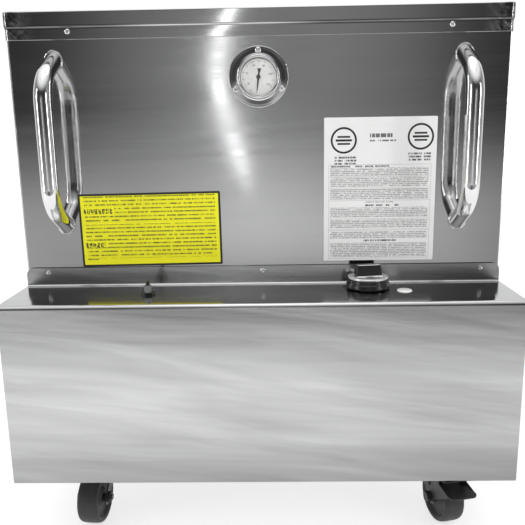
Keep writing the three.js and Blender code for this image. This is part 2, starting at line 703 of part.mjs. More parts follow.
for (const [corner, turn] of Object.entries(CASTOR_TURN)) {
  const braked = corner === 'front_right';
  const [end, side] = corner.split('_');
  const x = CASTOR[side];
  const y = CASTOR[end];
  piece(`castor_plate_${corner}`, castorPlate(), zincPlate(), placed(x, y, 0));
  const swivel = placed(x, y, 0);
  swivel.rotation.z = THREE.MathUtils.degToRad(turn);
  piece(`castor_fork_${corner}`, castorFork(), blackSteel(), swivel);
  piece(`castor_axle_${corner}`, castorAxle(braked), zincPlate(), swivel);
  piece(`castor_wheel_${corner}`, castorWheel(), tyreBlack(), swivel);
  if (braked) piece(`brake_pedal_${corner}`, brakePedal(), blackSteel(), swivel);
}

export default group;
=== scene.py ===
# %% [markdown]
# # A heated parts washer tank
#
# This lesson dresses a stainless steel soak tank: a welded box on castors, with a control box folded
# across its front, a thermometer, two tube handles, a thermostat knob and two printed labels.
# The engineering model is loaded first as a fixed frame. Nothing in it is moved: every piece made
# here is placed by that frame's own sizes and rides on one of its bodies.

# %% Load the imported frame
import json
import math
import bmesh
import bpy
from mathutils import Matrix, Vector

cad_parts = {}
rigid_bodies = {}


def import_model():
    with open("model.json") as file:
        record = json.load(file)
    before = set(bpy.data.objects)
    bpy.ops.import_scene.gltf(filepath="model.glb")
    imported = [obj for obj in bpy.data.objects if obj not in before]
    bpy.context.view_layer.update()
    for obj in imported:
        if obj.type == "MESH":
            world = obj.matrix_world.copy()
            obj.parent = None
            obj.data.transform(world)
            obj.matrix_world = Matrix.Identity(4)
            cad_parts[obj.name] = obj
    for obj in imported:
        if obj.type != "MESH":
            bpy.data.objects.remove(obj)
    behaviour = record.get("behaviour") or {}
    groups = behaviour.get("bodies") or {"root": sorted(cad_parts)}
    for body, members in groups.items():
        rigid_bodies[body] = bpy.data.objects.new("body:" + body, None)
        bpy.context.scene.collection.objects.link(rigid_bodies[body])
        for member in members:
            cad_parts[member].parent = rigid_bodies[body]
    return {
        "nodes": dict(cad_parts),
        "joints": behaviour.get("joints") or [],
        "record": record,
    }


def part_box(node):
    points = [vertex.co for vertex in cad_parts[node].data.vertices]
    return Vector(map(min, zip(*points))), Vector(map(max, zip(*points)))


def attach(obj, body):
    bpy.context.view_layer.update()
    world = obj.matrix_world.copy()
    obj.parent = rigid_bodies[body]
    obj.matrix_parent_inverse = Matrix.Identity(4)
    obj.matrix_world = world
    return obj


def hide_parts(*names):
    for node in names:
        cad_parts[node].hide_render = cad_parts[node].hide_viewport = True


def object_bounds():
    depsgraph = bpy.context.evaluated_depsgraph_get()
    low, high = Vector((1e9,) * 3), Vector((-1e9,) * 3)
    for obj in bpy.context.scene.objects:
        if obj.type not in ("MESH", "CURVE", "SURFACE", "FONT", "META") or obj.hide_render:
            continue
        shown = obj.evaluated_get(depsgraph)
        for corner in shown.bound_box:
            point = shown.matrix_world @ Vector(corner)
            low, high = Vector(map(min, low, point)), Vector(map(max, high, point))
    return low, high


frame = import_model()
cad_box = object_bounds()
MM = 0.001
BODY_OF = {node: body for body, nodes in frame["record"]["behaviour"]["bodies"].items() for node in nodes}
JOINTS = {joint["name"]: joint for joint in frame["joints"]}


def span(node):
    """Lowest and highest corner of a node, in millimetres."""
    low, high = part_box(node)
    return low / MM, high / MM


def middle(node):
    low, high = span(node)
    return (low + high) / 2


# %% [markdown]
# ## The camera and the studio
#
# The tank stands on a plain pale floor and is seen from just above its rim, close up, so its sides
# run together towards the floor. Steel has hardly a colour of its own: it shows the room. The room
# here is a soft one, bright overhead and behind the tank and dimmer behind the viewer, so that the
# front reads as grey steel. A narrow, bowed strip of light behind the viewer leaves the bright
# streak beside the thermometer, and two long soft lamps draw the lines on the tube handles.

# %% The camera
low, high = cad_box
eye = bpy.data.objects.new("camera", bpy.data.cameras.new("camera"))
bpy.context.scene.collection.objects.link(eye)
yaw, pitch, roll = (math.radians(angle) for angle in (-1.17, 11.75, -0.94))
ahead = Vector((math.sin(yaw) * math.cos(pitch), math.cos(yaw) * math.cos(pitch), -math.sin(pitch)))
level = Vector((math.cos(yaw), -math.sin(yaw), 0))
above = level.cross(ahead)
right = math.cos(roll) * level + math.sin(roll) * above
upward = math.cos(roll) * above - math.sin(roll) * level
place = ((low.x + high.x) / 2 + 0.0207, low.y - 0.8075, low.z + 0.5817)
eye.matrix_world = Matrix.Translation(place) @ Matrix((right, upward, -ahead)).transposed().to_4x4()
eye.data.sensor_width = 36
eye.data.lens = 43.63
bpy.context.scene.camera = eye
print("camera at", [round(value, 3) for value in place])


# %% [markdown]
# ## Writing node trees as sums
#
# A node tree is easier to read as arithmetic. `Wire` wraps one socket, so that adding or comparing
# two wires lays down the Math node. `Bench` makes every other node from its type, its settings and
# the values or wires of its sockets. Both work in materials, in the world and in Geometry Nodes.

# %% A wire and a bench
class Wire:
    """One output socket; sums of wires become Math nodes."""

    def __init__(self, bench, socket):
        self.bench = bench
        self.socket = socket

    def maths(self, operation, *values):
        return self.bench.node("ShaderNodeMath", {"operation": operation}, dict(enumerate(values)))

    def __add__(self, other):
        return self.maths("ADD", self, other)

    def __radd__(self, other):
        return self.maths("ADD", other, self)

    def __sub__(self, other):
        return self.maths("SUBTRACT", self, other)

    def __rsub__(self, other):
        return self.maths("SUBTRACT", other, self)

    def __mul__(self, other):
        return self.maths("MULTIPLY", self, other)

    def __rmul__(self, other):
        return self.maths("MULTIPLY", other, self)

    def __truediv__(self, other):
        return self.maths("DIVIDE", self, other)

    def __pow__(self, other):
        return self.maths("POWER", self, other)

    def __gt__(self, other):
        return self.maths("GREATER_THAN", self, other)

    def __lt__(self, other):
        return self.maths("LESS_THAN", self, other)

    def __abs__(self):
        return self.maths("ABSOLUTE", self)


class Bench:
    """Lays nodes in one tree."""

    def __init__(self, tree):
        self.tree = tree

    def node(self, kind, settings=None, inputs=None, output=0):
        made = self.tree.nodes.new(kind)
        for key, value in (settings or {}).items():
            setattr(made, key, value)
        for key, value in (inputs or {}).items():
            if isinstance(value, Wire):
                self.tree.links.new(value.socket, made.inputs[key])
            else:
                made.inputs[key].default_value = value
        return Wire(self, made.outputs[output])

    def mixed(self, amount, first, second):
        """A colour part of the way from the first to the second."""
        return self.node("ShaderNodeMix", {"data_type": "RGBA"}, {0: amount, 6: first, 7: second}, 2)

    def ramp(self, value, start, end):
        """0 below start, 1 above end, and smooth between."""
        settings = {"interpolation_type": "SMOOTHSTEP"}
        return self.node("ShaderNodeMapRange", settings, {"Value": value, "From Min": start, "From Max": end})

    def noise(self, at, detail=2.0, roughness=0.5, distortion=0.0):
        inputs = {"Vector": at, "Scale": 1.0, "Detail": detail}
        inputs |= {"Roughness": roughness, "Distortion": distortion}
        return self.node("ShaderNodeTexNoise", None, inputs)

    def parts(self, vector):
        split = self.node("ShaderNodeSeparateXYZ", None, {0: vector})
        return [Wire(self, socket) for socket in split.socket.node.outputs]


print("wires and benches ready")

# %% The room
world = bpy.data.worlds.new("studio")
bpy.context.scene.world = world
world.use_nodes = True
world.node_tree.nodes.clear()
room = Bench(world.node_tree)
direction = room.node("ShaderNodeTexCoord", None, None, "Generated")
across, along, height = room.parts(direction)
overhead = room.ramp(height, 0.5, 0.85) * 1.1
backdrop = room.ramp(along, 0.0, 0.5) * 0.95
sides = room.ramp(abs(across), 0.6, 0.95) * 0.3
middle_part = 1 - room.ramp(abs(across + 0.01), 0.06, 0.36)
above_eye = middle_part * (1 - room.ramp(height, 0.22, 0.42)) * 0.3
haze = room.ramp(height, -0.27, -0.19) * (1 - room.ramp(height, -0.14, 0.03)) * 0.46
below = (1 - room.ramp(height, -0.27, -0.19)) * (0.06 + 0.3 * room.ramp(abs(across), 0.08, 0.3))
drift = room.noise(room.node("ShaderNodeMapping", None, {"Vector": direction, "Scale": (5, 5, 2.2)}), 1.0)
lift = height - 0.085
off_streak = abs(across + 0.0914 - 0.28 * (lift * lift + 0.0009) ** 0.5)
streak = (1 - room.ramp(off_streak, 0.003, 0.0095)) * room.ramp(height, -0.11, -0.03) * (along < 0)
streak = streak * (1 - room.ramp(height, 0.2, 0.24)) * 4.2
viewer_side = (0.05 + above_eye * room.ramp(height, -0.24, -0.15) + haze + below) * (0.6 + 0.8 * drift)
around = viewer_side + sides + overhead + streak
glow = around.maths("MAXIMUM", backdrop, around)
seen = room.node("ShaderNodeLightPath", None, None, "Is Camera Ray")
glow = glow * (1 - seen) + 1.05 * seen
backing = room.node("ShaderNodeBackground", None, {"Color": (0.985, 0.99, 1.0, 1), "Strength": glow})
ending = world.node_tree.nodes.new("ShaderNodeOutputWorld")
world.node_tree.links.new(backing.socket, ending.inputs["Surface"])
bpy.context.scene.view_settings.view_transform = "Standard"
print("room of", len(world.node_tree.nodes), "nodes")


# %% The lamps
def soft_lamp(name, at, towards, width, length, watts, colour=(1, 1, 1)):
    lamp = bpy.data.objects.new(name, bpy.data.lights.new(name, "AREA"))
    lamp.data.shape = "RECTANGLE"
    lamp.data.size = width
    lamp.data.size_y = length
    lamp.data.energy = watts
    lamp.data.color = colour
    lamp.location = at
    lamp.rotation_euler = (Vector(towards) - Vector(at)).to_track_quat("-Z", "Y").to_euler()
    lamp.visible_camera = False
    bpy.context.scene.collection.objects.link(lamp)
    return lamp


soft_lamp("left_lamp", (-1.9, -1.1, 0.9), (-0.2, -0.2, 0.45), 0.14, 1.5, 8)
soft_lamp("right_lamp", (1.7, -1.3, 0.9), (0.2, -0.2, 0.45), 0.12, 1.3, 6)
soft_lamp("top_lamp", (0.1, -0.2, 2.4), (0.0, -0.1, 0.4), 1.8, 1.2, 7)
fill = soft_lamp("fill_lamp", (0.0, -2.2, 1.3), (0.0, -0.2, 0.4), 1.6, 1.6, 14)
fill.visible_glossy = False
print(len(bpy.data.lights), "lamps")


# %% [markdown]
# ## Finishes
#
# Brushed stainless steel is drawn along an abrasive belt, so its scratches lie in one direction and
# a light smears into a line across them. The shader's anisotropy gives the smear. Stretched noise
# adds the visible grain, slow noise the faint waves of thin sheet, and turned, wandering noise the
# wiped cleaning marks. Upright and lying sheets need their grain stretched along different axes, so
# each sheet finish is made once for each. Plastics, rubber and paint get a fine moulded grain.

# %% A finish
class Finish(Bench):
    """A material with one principled shader; fixed values sit on its own sockets."""

    def __init__(self, name, **fixed):
        self.material = bpy.data.materials.new(name)
        self.material.use_nodes = True
        super().__init__(self.material.node_tree)
        self.shader = self.tree.nodes["Principled BSDF"]
        for key, value in fixed.items():
            self.shader.inputs[key.replace("_", " ").title()].default_value = value

    def coords(self, scale=(1, 1, 1), turn=(0, 0, 0), centre=(0, 0, 0)):
        """The piece's own coordinates in metres, from a centre, turned in degrees, then scaled."""
        here = self.node("ShaderNodeTexCoord", None, None, "Object")
        moved = self.node("ShaderNodeVectorMath", {"operation": "SUBTRACT"}, {0: here, 1: centre})
        if any(turn):
            inputs = {"Vector": moved, "Rotation": [math.radians(angle) for angle in turn]}
            moved = self.node("ShaderNodeMapping", None, inputs)
        return self.node("ShaderNodeMapping", None, {"Vector": moved, "Scale": scale})

    def feed(self, name, wire):
        self.tree.links.new(wire.socket, self.shader.inputs[name])

    def raise_by(self, *layers):
        """Bumps the surface by layers of (height wire, millimetres)."""
        below = None
        for layer, depth in layers:
            inputs = {"Height": layer, "Distance": depth * MM, "Strength": 1.0}
            if below:
                inputs["Normal"] = below
            below = self.node("ShaderNodeBump", None, inputs)
        self.feed("Normal", below)


def grey(value, warm=0.0):
    return (value * (1 + warm), value, value * (1 - warm), 1)


def sheet_steel(name, tone, roughness, grain, wipe, anisotropy=0.4, wave=0.5, mark=0.5,
                film=0.0, spread=0.13):
    """Brushed sheet: grain is its stretch along X, Y and Z, and wipe the turn of the cleaning marks.
    Film is painted shade: it darkens the sheet towards its bottom edge and its right side."""
    steel = Finish(name, metallic=1.0, anisotropic=anisotropy)
    steel.shader.inputs["Anisotropic Rotation"].default_value = 0.25
    fine = steel.noise(steel.coords(grain), 2.0, 0.6)
    band = steel.noise(steel.coords([0.09 * axis + 1.2 for axis in grain]), 3.0, 0.6)
    smear = steel.noise(steel.coords([0.022 * axis + 2.2 for axis in grain], wipe), 3.0, 0.55, 0.7)
    patch = steel.noise(steel.coords((3.1, 3.1, 3.1)), 2.0)
    waves = steel.noise(steel.coords((2.2, 2.2, 3.0), (0, 8, 0)), 1.0)
    coarse = steel.coords([0.5 * axis + 9 for axis in grain], [3 * angle for angle in wipe])
    scratch = steel.noise(coarse, 1.0)
    nick = steel.ramp(scratch, 0.73, 0.8)
    light = 0.24 * fine + 0.3 * band + 0.2 + mark * (smear - 0.5)
    dark, pale = tone * (1 - spread), tone * (1 + 0.8 * spread)
    tint = steel.mixed(light, grey(dark, 0.004), grey(pale, -0.004))
    # Painted shade: the base colour is darkened towards the bottom edge and the right side.
    if film:
        right, _, up = steel.parts(steel.coords())
        darkening_with_painted_shade = film * (1 - steel.ramp(up, 0.07, 0.22)) + 0.3 * film * steel.ramp(right, 0.05, 0.3)
        tint = steel.mixed(darkening_with_painted_shade, tint, grey(tone * 0.35))
    steel.feed("Base Color", tint)
    uneven = 0.1 * (fine - 0.5) + 0.12 * (smear - 0.5) + 0.06 * patch
    steel.feed("Roughness", roughness + uneven - 0.05 * nick)
    steel.raise_by((waves, wave), (smear, 0.02), (fine, 0.0035))
    return steel.material


UPRIGHT = (5, 5, 1100)
LYING = (5, 1100, 5)
face_steel = sheet_steel("brushed_face", 0.56, 0.07, UPRIGHT, (0, 3, 0), wave=1.3)
ledge_steel = sheet_steel("brushed_ledge", 0.54, 0.12, LYING, (0, 0, 3), anisotropy=0.0, wave=0.3)
# The box front gets painted shade (film 0.6) towards its bottom and its right side.
box_steel = sheet_steel("brushed_box_front", 0.57, 0.2, UPRIGHT, (0, -7, 0), 0.55, 1.2, 1.9, 0.6, 0.34)
mill_steel = sheet_steel("mill_sheet", 0.5, 0.42, (160, 160, 160), (0, 20, 0), anisotropy=0.0, wave=0.6)
print("sheet finishes ready")


# %% [markdown]
# The rim is folded from the same sheet, but its corners were welded and then ground flat by hand.
# The grinding leaves short curved scratches, duller and more uneven than the belt grain beside them.

# %% The rim's finish
def dressed_steel(name, grain):
    steel = Finish(name, metallic=1.0, anisotropic=0.45)
    steel.shader.inputs["Anisotropic Rotation"].default_value = 0.25
    low, high = span("rim_frame")
    reach_x, reach_y = (high.x - low.x) / 2 * MM, (high.y - low.y) / 2 * MM
    here = steel.coords(centre=(low + high) / 2 * MM)
    across, along, _ = steel.parts(here)
    from_middle, _, height = steel.parts(steel.coords())
    near = steel.ramp(abs(across), reach_x - 0.045, reach_x - 0.012)
    near = near * steel.ramp(abs(along), reach_y - 0.045, reach_y - 0.012)
    # Painted shade: the crease is darkened away from the middle, so its highlight stays bright only there.
    painted_crease_shade = 1 - steel.ramp(abs(height - (low.z + 16.6) * MM), 0.0014, 0.0034)
    painted_crease_shade = painted_crease_shade * steel.ramp(abs(from_middle + 0.06), 0.07, 0.16) * 0.9
    fine = steel.noise(steel.coords(grain), 2.0, 0.6)
    band = steel.noise(steel.coords([0.09 * axis + 1.2 for axis in grain]), 3.0, 0.6)
    waves = steel.noise(steel.coords((4, 4, 20)), 2.0)
    ground = steel.noise(steel.coords((120, 120, 40), (25, 40, 0)), 3.0, 0.6, 1.2)
    dents = steel.noise(steel.coords((70, 70, 90)), 1.0)
    light = 0.42 * fine + 0.34 * band + near * (ground - 0.4)
    tint = steel.mixed(light, grey(0.46), grey(0.62))
    # Darkening: real grinding marks at the corners, plus the painted crease shade.
    darkening_with_painted_shade = steel.node("ShaderNodeClamp", None, {"Value": near * (1.9 - 3 * ground) + painted_crease_shade})
    steel.feed("Base Color", steel.mixed(darkening_with_painted_shade, tint, grey(0.13)))
    steel.feed("Roughness", 0.08 + 0.06 * (fine - 0.5) + near * (0.34 * ground - 0.04))
    steel.raise_by((waves, 0.25), (fine, 0.0035), (near * ground, 0.1), (near * dents, 0.8))
    return steel.material


rim_steel = dressed_steel("ground_rim", UPRIGHT)
rim_top_steel = dressed_steel("ground_rim_top", LYING)
print("rim finish ready")


# %% Polished tube, plating, plastics and the rest
def polished(name, tone, roughness, warm=0.0, spin=(300, 300, 24)):
    """Buffed metal: nearly a mirror, with hair scratches, a few dull smudges and slight ripple."""
    metal = Finish(name, metallic=1.0)
    hair = metal.noise(metal.coords(spin), 2.0, 0.6)
    smudge = metal.noise(metal.coords((38, 38, 22)), 3.0, 0.6)
    ripple = metal.noise(metal.coords((45, 45, 14)), 1.0)
    metal.feed("Base Color", metal.mixed(smudge, grey(tone * 0.93, warm), grey(tone * 1.05, warm)))
    metal.feed("Roughness", roughness + 0.07 * metal.ramp(smudge, 0.45, 0.75) + 0.04 * (hair - 0.5))
    metal.raise_by((ripple, 0.06), (hair, 0.004))
    return metal.material


def tinted(colour, factor):
    return (colour[0] * factor, colour[1] * factor, colour[2] * factor, 1)


def moulded(name, colour, roughness, grain_mm, depth, worn=0.25, metallic=0.0, **fixed):
    """Plastic, rubber, cast or painted surfaces: a fine grain, slow cloudiness and rubbed patches."""
    skin = Finish(name, metallic=metallic, **fixed)
    scale = 1 / (grain_mm * MM)
    grain = skin.noise(skin.coords((scale, scale, scale)), 2.0, 0.6)
    cloud = skin.noise(skin.coords((30, 30, 30)), 3.0, 0.6)
    rub = skin.ramp(skin.noise(skin.coords((75, 75, 75), (20, 0, 35)), 3.0, 0.7), 0.5, 0.75)
    shade = 0.5 * cloud + worn * rub + 0.2 * grain
    skin.feed("Base Color", skin.mixed(shade, tinted(colour, 0.78), tinted(colour, 1.5)))
    skin.feed("Roughness", roughness + 0.1 * (cloud - 0.5) - 0.09 * rub + 0.06 * (grain - 0.5))
    skin.raise_by((grain, depth), (rub, 0.02))
    return skin.material


handle_steel = polished("polished_tube", 0.74, 0.07)
gauge_steel = polished("polished_gauge", 0.7, 0.09, spin=(60, 60, 60))
screw_steel = polished("bright_screws", 0.72, 0.13, spin=(900, 900, 900))
knob_chrome = polished("ring_chrome", 0.92, 0.42, spin=(200, 200, 200))
zinc = moulded("zinc_plating", (0.5, 0.51, 0.52), 0.34, 1.2, 0.01, metallic=1.0)
castor_steel = moulded("black_castor_steel", (0.022, 0.022, 0.023), 0.42, 1.1, 0.02, metallic=0.25)
enamel = moulded("black_enamel", (0.012, 0.012, 0.012), 0.3, 0.5, 0.004)
black_plastic = moulded("black_knob_plastic", (0.012, 0.012, 0.012), 0.3, 0.45, 0.006, worn=0.4)
grey_plastic = moulded("grey_moulding", (0.2, 0.205, 0.215), 0.5, 0.7, 0.012)
tyre_rubber = moulded("tyre_rubber", (0.019, 0.019, 0.02), 0.55, 0.8, 0.03, worn=0.5)
brass = moulded("cast_brass", (0.55, 0.38, 0.15), 0.32, 1.6, 0.02, metallic=1.0)
copper = moulded("drawn_copper", (0.65, 0.33, 0.22), 0.3, 1.0, 0.004, metallic=1.0)
wool = moulded("mineral_wool", (0.5, 0.4, 0.16), 0.95, 1.4, 0.6)
lamp_plastic = moulded("lamp_lens", (0.93, 0.93, 0.9), 0.22, 2.5, 0.01, worn=0.1, coat_weight=0.4)
print(len(bpy.data.materials), "finishes")


# %% [markdown]
# ## Shapes
#
# Sheet metal is described the way a folder sees it: a bent line, given a thickness, then drawn out
# straight or carried round the tank. Turned parts are a half outline spun round an axis, and tubes a
# circle carried along a path. Every shape is a list of points and faces in millimetres, so shapes
# can be added together and moved before a mesh is made of them.

# %% Bent lines and their thickness
def bent(line, bend, steps=4, closed=False):
    """The same line with each corner rounded, starting the bend this far before the corner."""
    line = [Vector(point) for point in line]
    count = len(line)
    made = [] if closed else [line[0]]
    for index in range(count) if closed else range(1, count - 1):
        before, corner, after = line[index - 1], line[index], line[(index + 1) % count]
        back, forth = before - corner, after - corner
        reach = min(bend, back.length * 0.45, forth.length * 0.45)
        if reach < 1e-6 or back.normalized().dot(forth.normalized()) < -0.9999:
            made.append(corner)
            continue
        start, end = corner + back.normalized() * reach, corner + forth.normalized() * reach
        pull, push = start.lerp(corner, 0.5523), end.lerp(corner, 0.5523)
        for step in range(steps + 1):
            t = step / steps
            s = 1 - t
            made.append(start * s ** 3 + pull * 3 * s * s * t + push * 3 * s * t * t + end * t ** 3)
    return made if closed else made + [line[-1]]


def beside(line, distance):
    """A line at a distance to the right of a 2-D line."""
    made = []
    for index, point in enumerate(line):
        first = (point - line[index - 1]) if index else (line[1] - point)
        last = (line[index + 1] - point) if index + 1 < len(line) else first
        normals = [Vector((edge.y, -edge.x)).normalized() for edge in (first, last)]
        mean = (normals[0] + normals[1]).normalized()
        made.append(point + mean * (distance / max(mean.dot(normals[0]), 0.3)))
    return made


print("bends:", len(bent([(0, 0), (10, 0), (10, 10)], 2)), "points for one corner")


# %% Turned, swept, folded and carried shapes
def spun(outline, sides=48):
    """A half outline of (radius, height) spun round Z; it starts and ends on the axis, or closes."""
    points, rings = [], []
    for radius, height in outline:
        if radius < 1e-6:
            rings.append([len(points)] * sides)
            points.append((0, 0, height))
        else:
            rings.append([len(points) + side for side in range(sides)])
            for side in range(sides):
                angle = math.tau * side / sides
                points.append((radius * math.cos(angle), radius * math.sin(angle), height))
    if outline[0][0] > 1e-6:
        rings.append(rings[0])
    faces = []
    for lower, upper in zip(rings, rings[1:]):
        for side in range(sides):
            beyond = (side + 1) % sides
            corners = [lower[side], lower[beyond], upper[beyond], upper[side]]
            faces.append(list(dict.fromkeys(corners)))
    return points, [face for face in faces if len(face) > 2]


def tube(path, radius, sides=24, closed=False):
    """A round bar along a path."""
    path = [Vector(point) for point in path]
    count = len(path)
    points = []
    across = None
    for index, point in enumerate(path):
        before = path[index - 1] if index or closed else point
        after = path[(index + 1) % count] if index + 1 < count or closed else point
        ahead = (after - before).normalized()
        across = across or ahead.orthogonal()
        across = (across - ahead * across.dot(ahead)).normalized()
        up = ahead.cross(across)
        size = radius[index] if isinstance(radius, list) else radius
        for side in range(sides):
            angle = math.tau * side / sides
            points.append(point + (across * math.cos(angle) + up * math.sin(angle)) * size)
    faces = []
    for ring in range(count if closed else count - 1):
        for side in range(sides):
            beyond = (side + 1) % sides
            low_ring, high_ring = ring * sides, (ring + 1) % count * sides
            faces.append([low_ring + side, low_ring + beyond, high_ring + beyond, high_ring + side])
    if not closed:
        faces += [list(range(sides)), list(range((count - 1) * sides, count * sides))]
    return points, faces


def folded(line, thickness, half_width):
    """A bent line in Y and Z, made into sheet and drawn out along X; half_width depends on height."""
    points, faces = [], []
    for outer, inner in zip(line, beside(line, thickness)):
        wide = half_width(outer.y)
        points += [(-wide, *outer), (wide, *outer), (-wide, *inner), (wide, *inner)]
    for index in range(len(line) - 1):
        a, b = index * 4, index * 4 + 4
        faces += [[a, a + 1, b + 1, b], [a + 2, b + 2, b + 3, a + 3]]
        faces += [[a, b, b + 2, a + 2], [a + 1, a + 3, b + 3, b + 1]]
    last = len(points) - 4
    return points, faces + [[0, 2, 3, 1], [last, last + 1, last + 3, last + 2]]


TANK_LOW, TANK_HIGH = span("outer_casing")


def tank_loop(offset, height, corner, steps=6):
    """One loop round the tank's plan, this far outside its walls."""
    x_reach, y_low, y_high = TANK_HIGH.x + offset, TANK_LOW.y - offset, TANK_HIGH.y + offset
    loop = []
    for quarter, (side, end) in enumerate(((1, y_low), (1, y_high), (-1, y_high), (-1, y_low))):
        inward = 1 if end == y_low else -1
        centre = Vector((side * (x_reach - corner), end + inward * corner))
        for step in range(steps + 1):
            angle = math.radians(-90 + 90 * quarter + 90 * step / steps)
            loop.append((centre.x + corner * math.cos(angle), centre.y + corner * math.sin(angle), height))
    return loop


def carried(profile, closed=True):
    """A profile of (offset, height, corner radius) carried round the tank."""
    loops = [tank_loop(*station) for station in profile]
    size = len(loops[0])
    points = [point for loop in loops for point in loop]
    faces = []
    for index in range(len(loops) if closed else len(loops) - 1):
        a, b = index * size, (index + 1) % len(loops) * size
        for step in range(size):
            beyond = (step + 1) % size
            faces.append([a + step, a + beyond, b + beyond, b + step])
    if not closed:
        faces += [list(range(size)), list(range(len(points) - size, len(points)))]
    return points, faces


def slab(outline, low, high):
    """A flat outline of (x, y) given a height."""
    count = len(outline)
    points = [(*point, z) for z in (low, high) for point in outline]
    faces = [[i, (i + 1) % count, count + (i + 1) % count, count + i] for i in range(count)]
    return points, faces + [list(range(count)), list(range(count, 2 * count))]


def placed(shape, matrix):
    return [matrix @ Vector(point) for point in shape[0]], shape[1]


def together(*shapes):
    points, faces = [], []
    for more_points, more_faces in shapes:
        start = len(points)
        points += [Vector(point) for point in more_points]
        faces += [[start + corner for corner in face] for face in more_faces]
    return points, faces


print("shape makers ready")

# %% [markdown]
# A mesh is finished in the same way each time. Doubled points are merged, faces are turned outward,
# and edges sharper than an angle stay sharp. Weighted normals keep a wide flat sheet looking flat
# beside its narrow bends; without them the bends would shade far into the sheet. The modifiers are
# baked into the mesh straight away, so a finished piece is plain geometry in the tank's own frame.

# %% Finishing a piece
def baked(thing):
    """The thing's mesh with its modifiers worked in, and the modifiers gone."""
    bpy.context.view_layer.update()
    evaluated = thing.evaluated_get(bpy.context.evaluated_depsgraph_get())
    mesh = bpy.data.meshes.new_from_object(evaluated)
    mesh.name = thing.name
    thing.modifiers.clear()
    thing.data = mesh
    return thing


def fresh(name, mesh):
    thing = bpy.data.objects.new(name, mesh)
    bpy.context.scene.collection.objects.link(thing)
    return thing


def mesh_of(name, shape, weld=0.0005):
    mesh = bpy.data.meshes.new(name)
    mesh.from_pydata([Vector(point) * MM for point in shape[0]], [], shape[1])
    work = bmesh.new()
    work.from_mesh(mesh)
    bmesh.ops.remove_doubles(work, verts=work.verts, dist=weld * MM)
    bmesh.ops.recalc_face_normals(work, faces=work.faces)
    work.to_mesh(mesh)
    work.free()
    return mesh


def wired(name, places, edges=()):
    """A mesh of bare points in millimetres, with edges between some of them, for a tree to work on."""
    mesh = bpy.data.meshes.new(name)
    mesh.from_pydata([Vector(place) * MM for place in places], edges, [])
    return mesh


def smoothed(thing, angle=38, edge=0.0):
    """Rounds the edges by a width in millimetres, smooths the faces and weights their normals."""
    if edge:
        bevel = thing.modifiers.new("edges", "BEVEL")
        bevel.width = edge * MM
        bevel.segments = 2
        bevel.angle_limit = math.radians(32)
        baked(thing)
    thing.data.shade_smooth()
    thing.data.set_sharp_from_angle(angle=math.radians(angle))
    weights = thing.modifiers.new("weights", "WEIGHTED_NORMAL")
    weights.keep_sharp = True
    return baked(thing)


def dress(thing, finishes, nodes=(), body=None):
    """Gives a piece its finishes and body, and hides the nodes it stands for."""
    finishes = finishes if isinstance(finishes, tuple) else (finishes,)
    thing.data.materials.clear()
    for finish in finishes:
        thing.data.materials.append(finish)
    if len(finishes) == 2:
        for face in thing.data.polygons:
            face.material_index = int(abs(face.normal.z) > 0.72)
    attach(thing, body or BODY_OF[nodes[0]])
    if nodes:
        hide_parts(*nodes)
    print(thing.name, len(thing.data.polygons), "faces")
    return thing


def piece(name, shape, finishes, nodes=(), body=None, angle=38, edge=0.0):
    return dress(smoothed(fresh(name, mesh_of(name, shape)), angle, edge), finishes, nodes, body)


def softened(node, finishes, edge=0.4, angle=38):
    """A copy of a CAD node with merged faces and softened edges, standing in its place."""
    mesh = frame["nodes"][node].data.copy()
    work = bmesh.new()
    work.from_mesh(mesh)
    bmesh.ops.remove_doubles(work, verts=work.verts, dist=0.004 * MM)
    bmesh.ops.dissolve_limit(work, angle_limit=math.radians(0.6), verts=work.verts, edges=work.edges)
    work.to_mesh(mesh)
    work.free()
    return dress(smoothed(fresh(node + "_made", mesh), angle, edge), finishes, (node,))


def drilled(thing, cutters):
    """Cuts closed shapes out of a thing."""
    knife = fresh("cutter", mesh_of("cutter", together(*cutters)))
    cut = thing.modifiers.new("holes", "BOOLEAN")
    cut.operation = "DIFFERENCE"
    cut.solver = "EXACT"
    cut.object = knife
    baked(thing)
    bpy.data.objects.remove(knife)
    return thing


def upright_on_face(x, y, z):
    """A frame standing on a front face: local X to the right, local Y up, local Z outward."""
    turn = Matrix(((1, 0, 0), (0, 0, -1), (0, 1, 0))).to_4x4()
    return Matrix.Translation((x, y, z)) @ turn


print("finishing ready")

# %% [markdown]
# ## The tank's shell
#
# The casing is one wrapper of sheet with tight corners, kept as the frame has it apart from softened
# edges. The rim is a folded frame: a strip that hugs the casing, a small outward step, the band
# above it, a flat top and a drop into the tank. Carried round the plan as one profile it gives the
# continuous bends whose crease catches the light.

# %% Casing, liner and rim
softened("outer_casing", (face_steel, mill_steel), 0.0, 30)
softened("tank_liner", (face_steel, ledge_steel), 0.0, 40)
rim_low, rim_high = span("rim_frame")
proud = rim_high.x - TANK_HIGH.x
drop = -35.3
step_height = rim_low.z + 15.8
rim_line = [(1.8, rim_low.z), (1.8, step_height), (proud, step_height + 1.7), (proud, rim_high.z)]
rim_line += [(drop, rim_high.z), (drop, rim_high.z - 22)]
rim_line = bent(rim_line, 2.1)
rim_line[0].y += 0.4
rim_loop = [Vector((1.35, rim_low.z))] + rim_line + beside(rim_line, -1.5)[::-1] + [Vector((0.75, rim_low.z))]


def rim_corner(offset):
    return 4.6 + offset if offset > 0 else 4.6 - offset * 0.215


rim_profile = [(point.x, point.y, rim_corner(point.x)) for point in rim_loop]
rim_finishes = (rim_steel, rim_top_steel)
piece("rim", carried(rim_profile), rim_finishes, ("rim_frame",), angle=50)

# %% [markdown]
# ## The control box
#
# One sheet makes the whole cover: a lip under the box, the front, the ledge that carries the
# controls, and a flange that screws to the tank. The bends are wide enough to catch the overhead
# light as two white lines, one along the ledge's front and one in the corner below the flange.

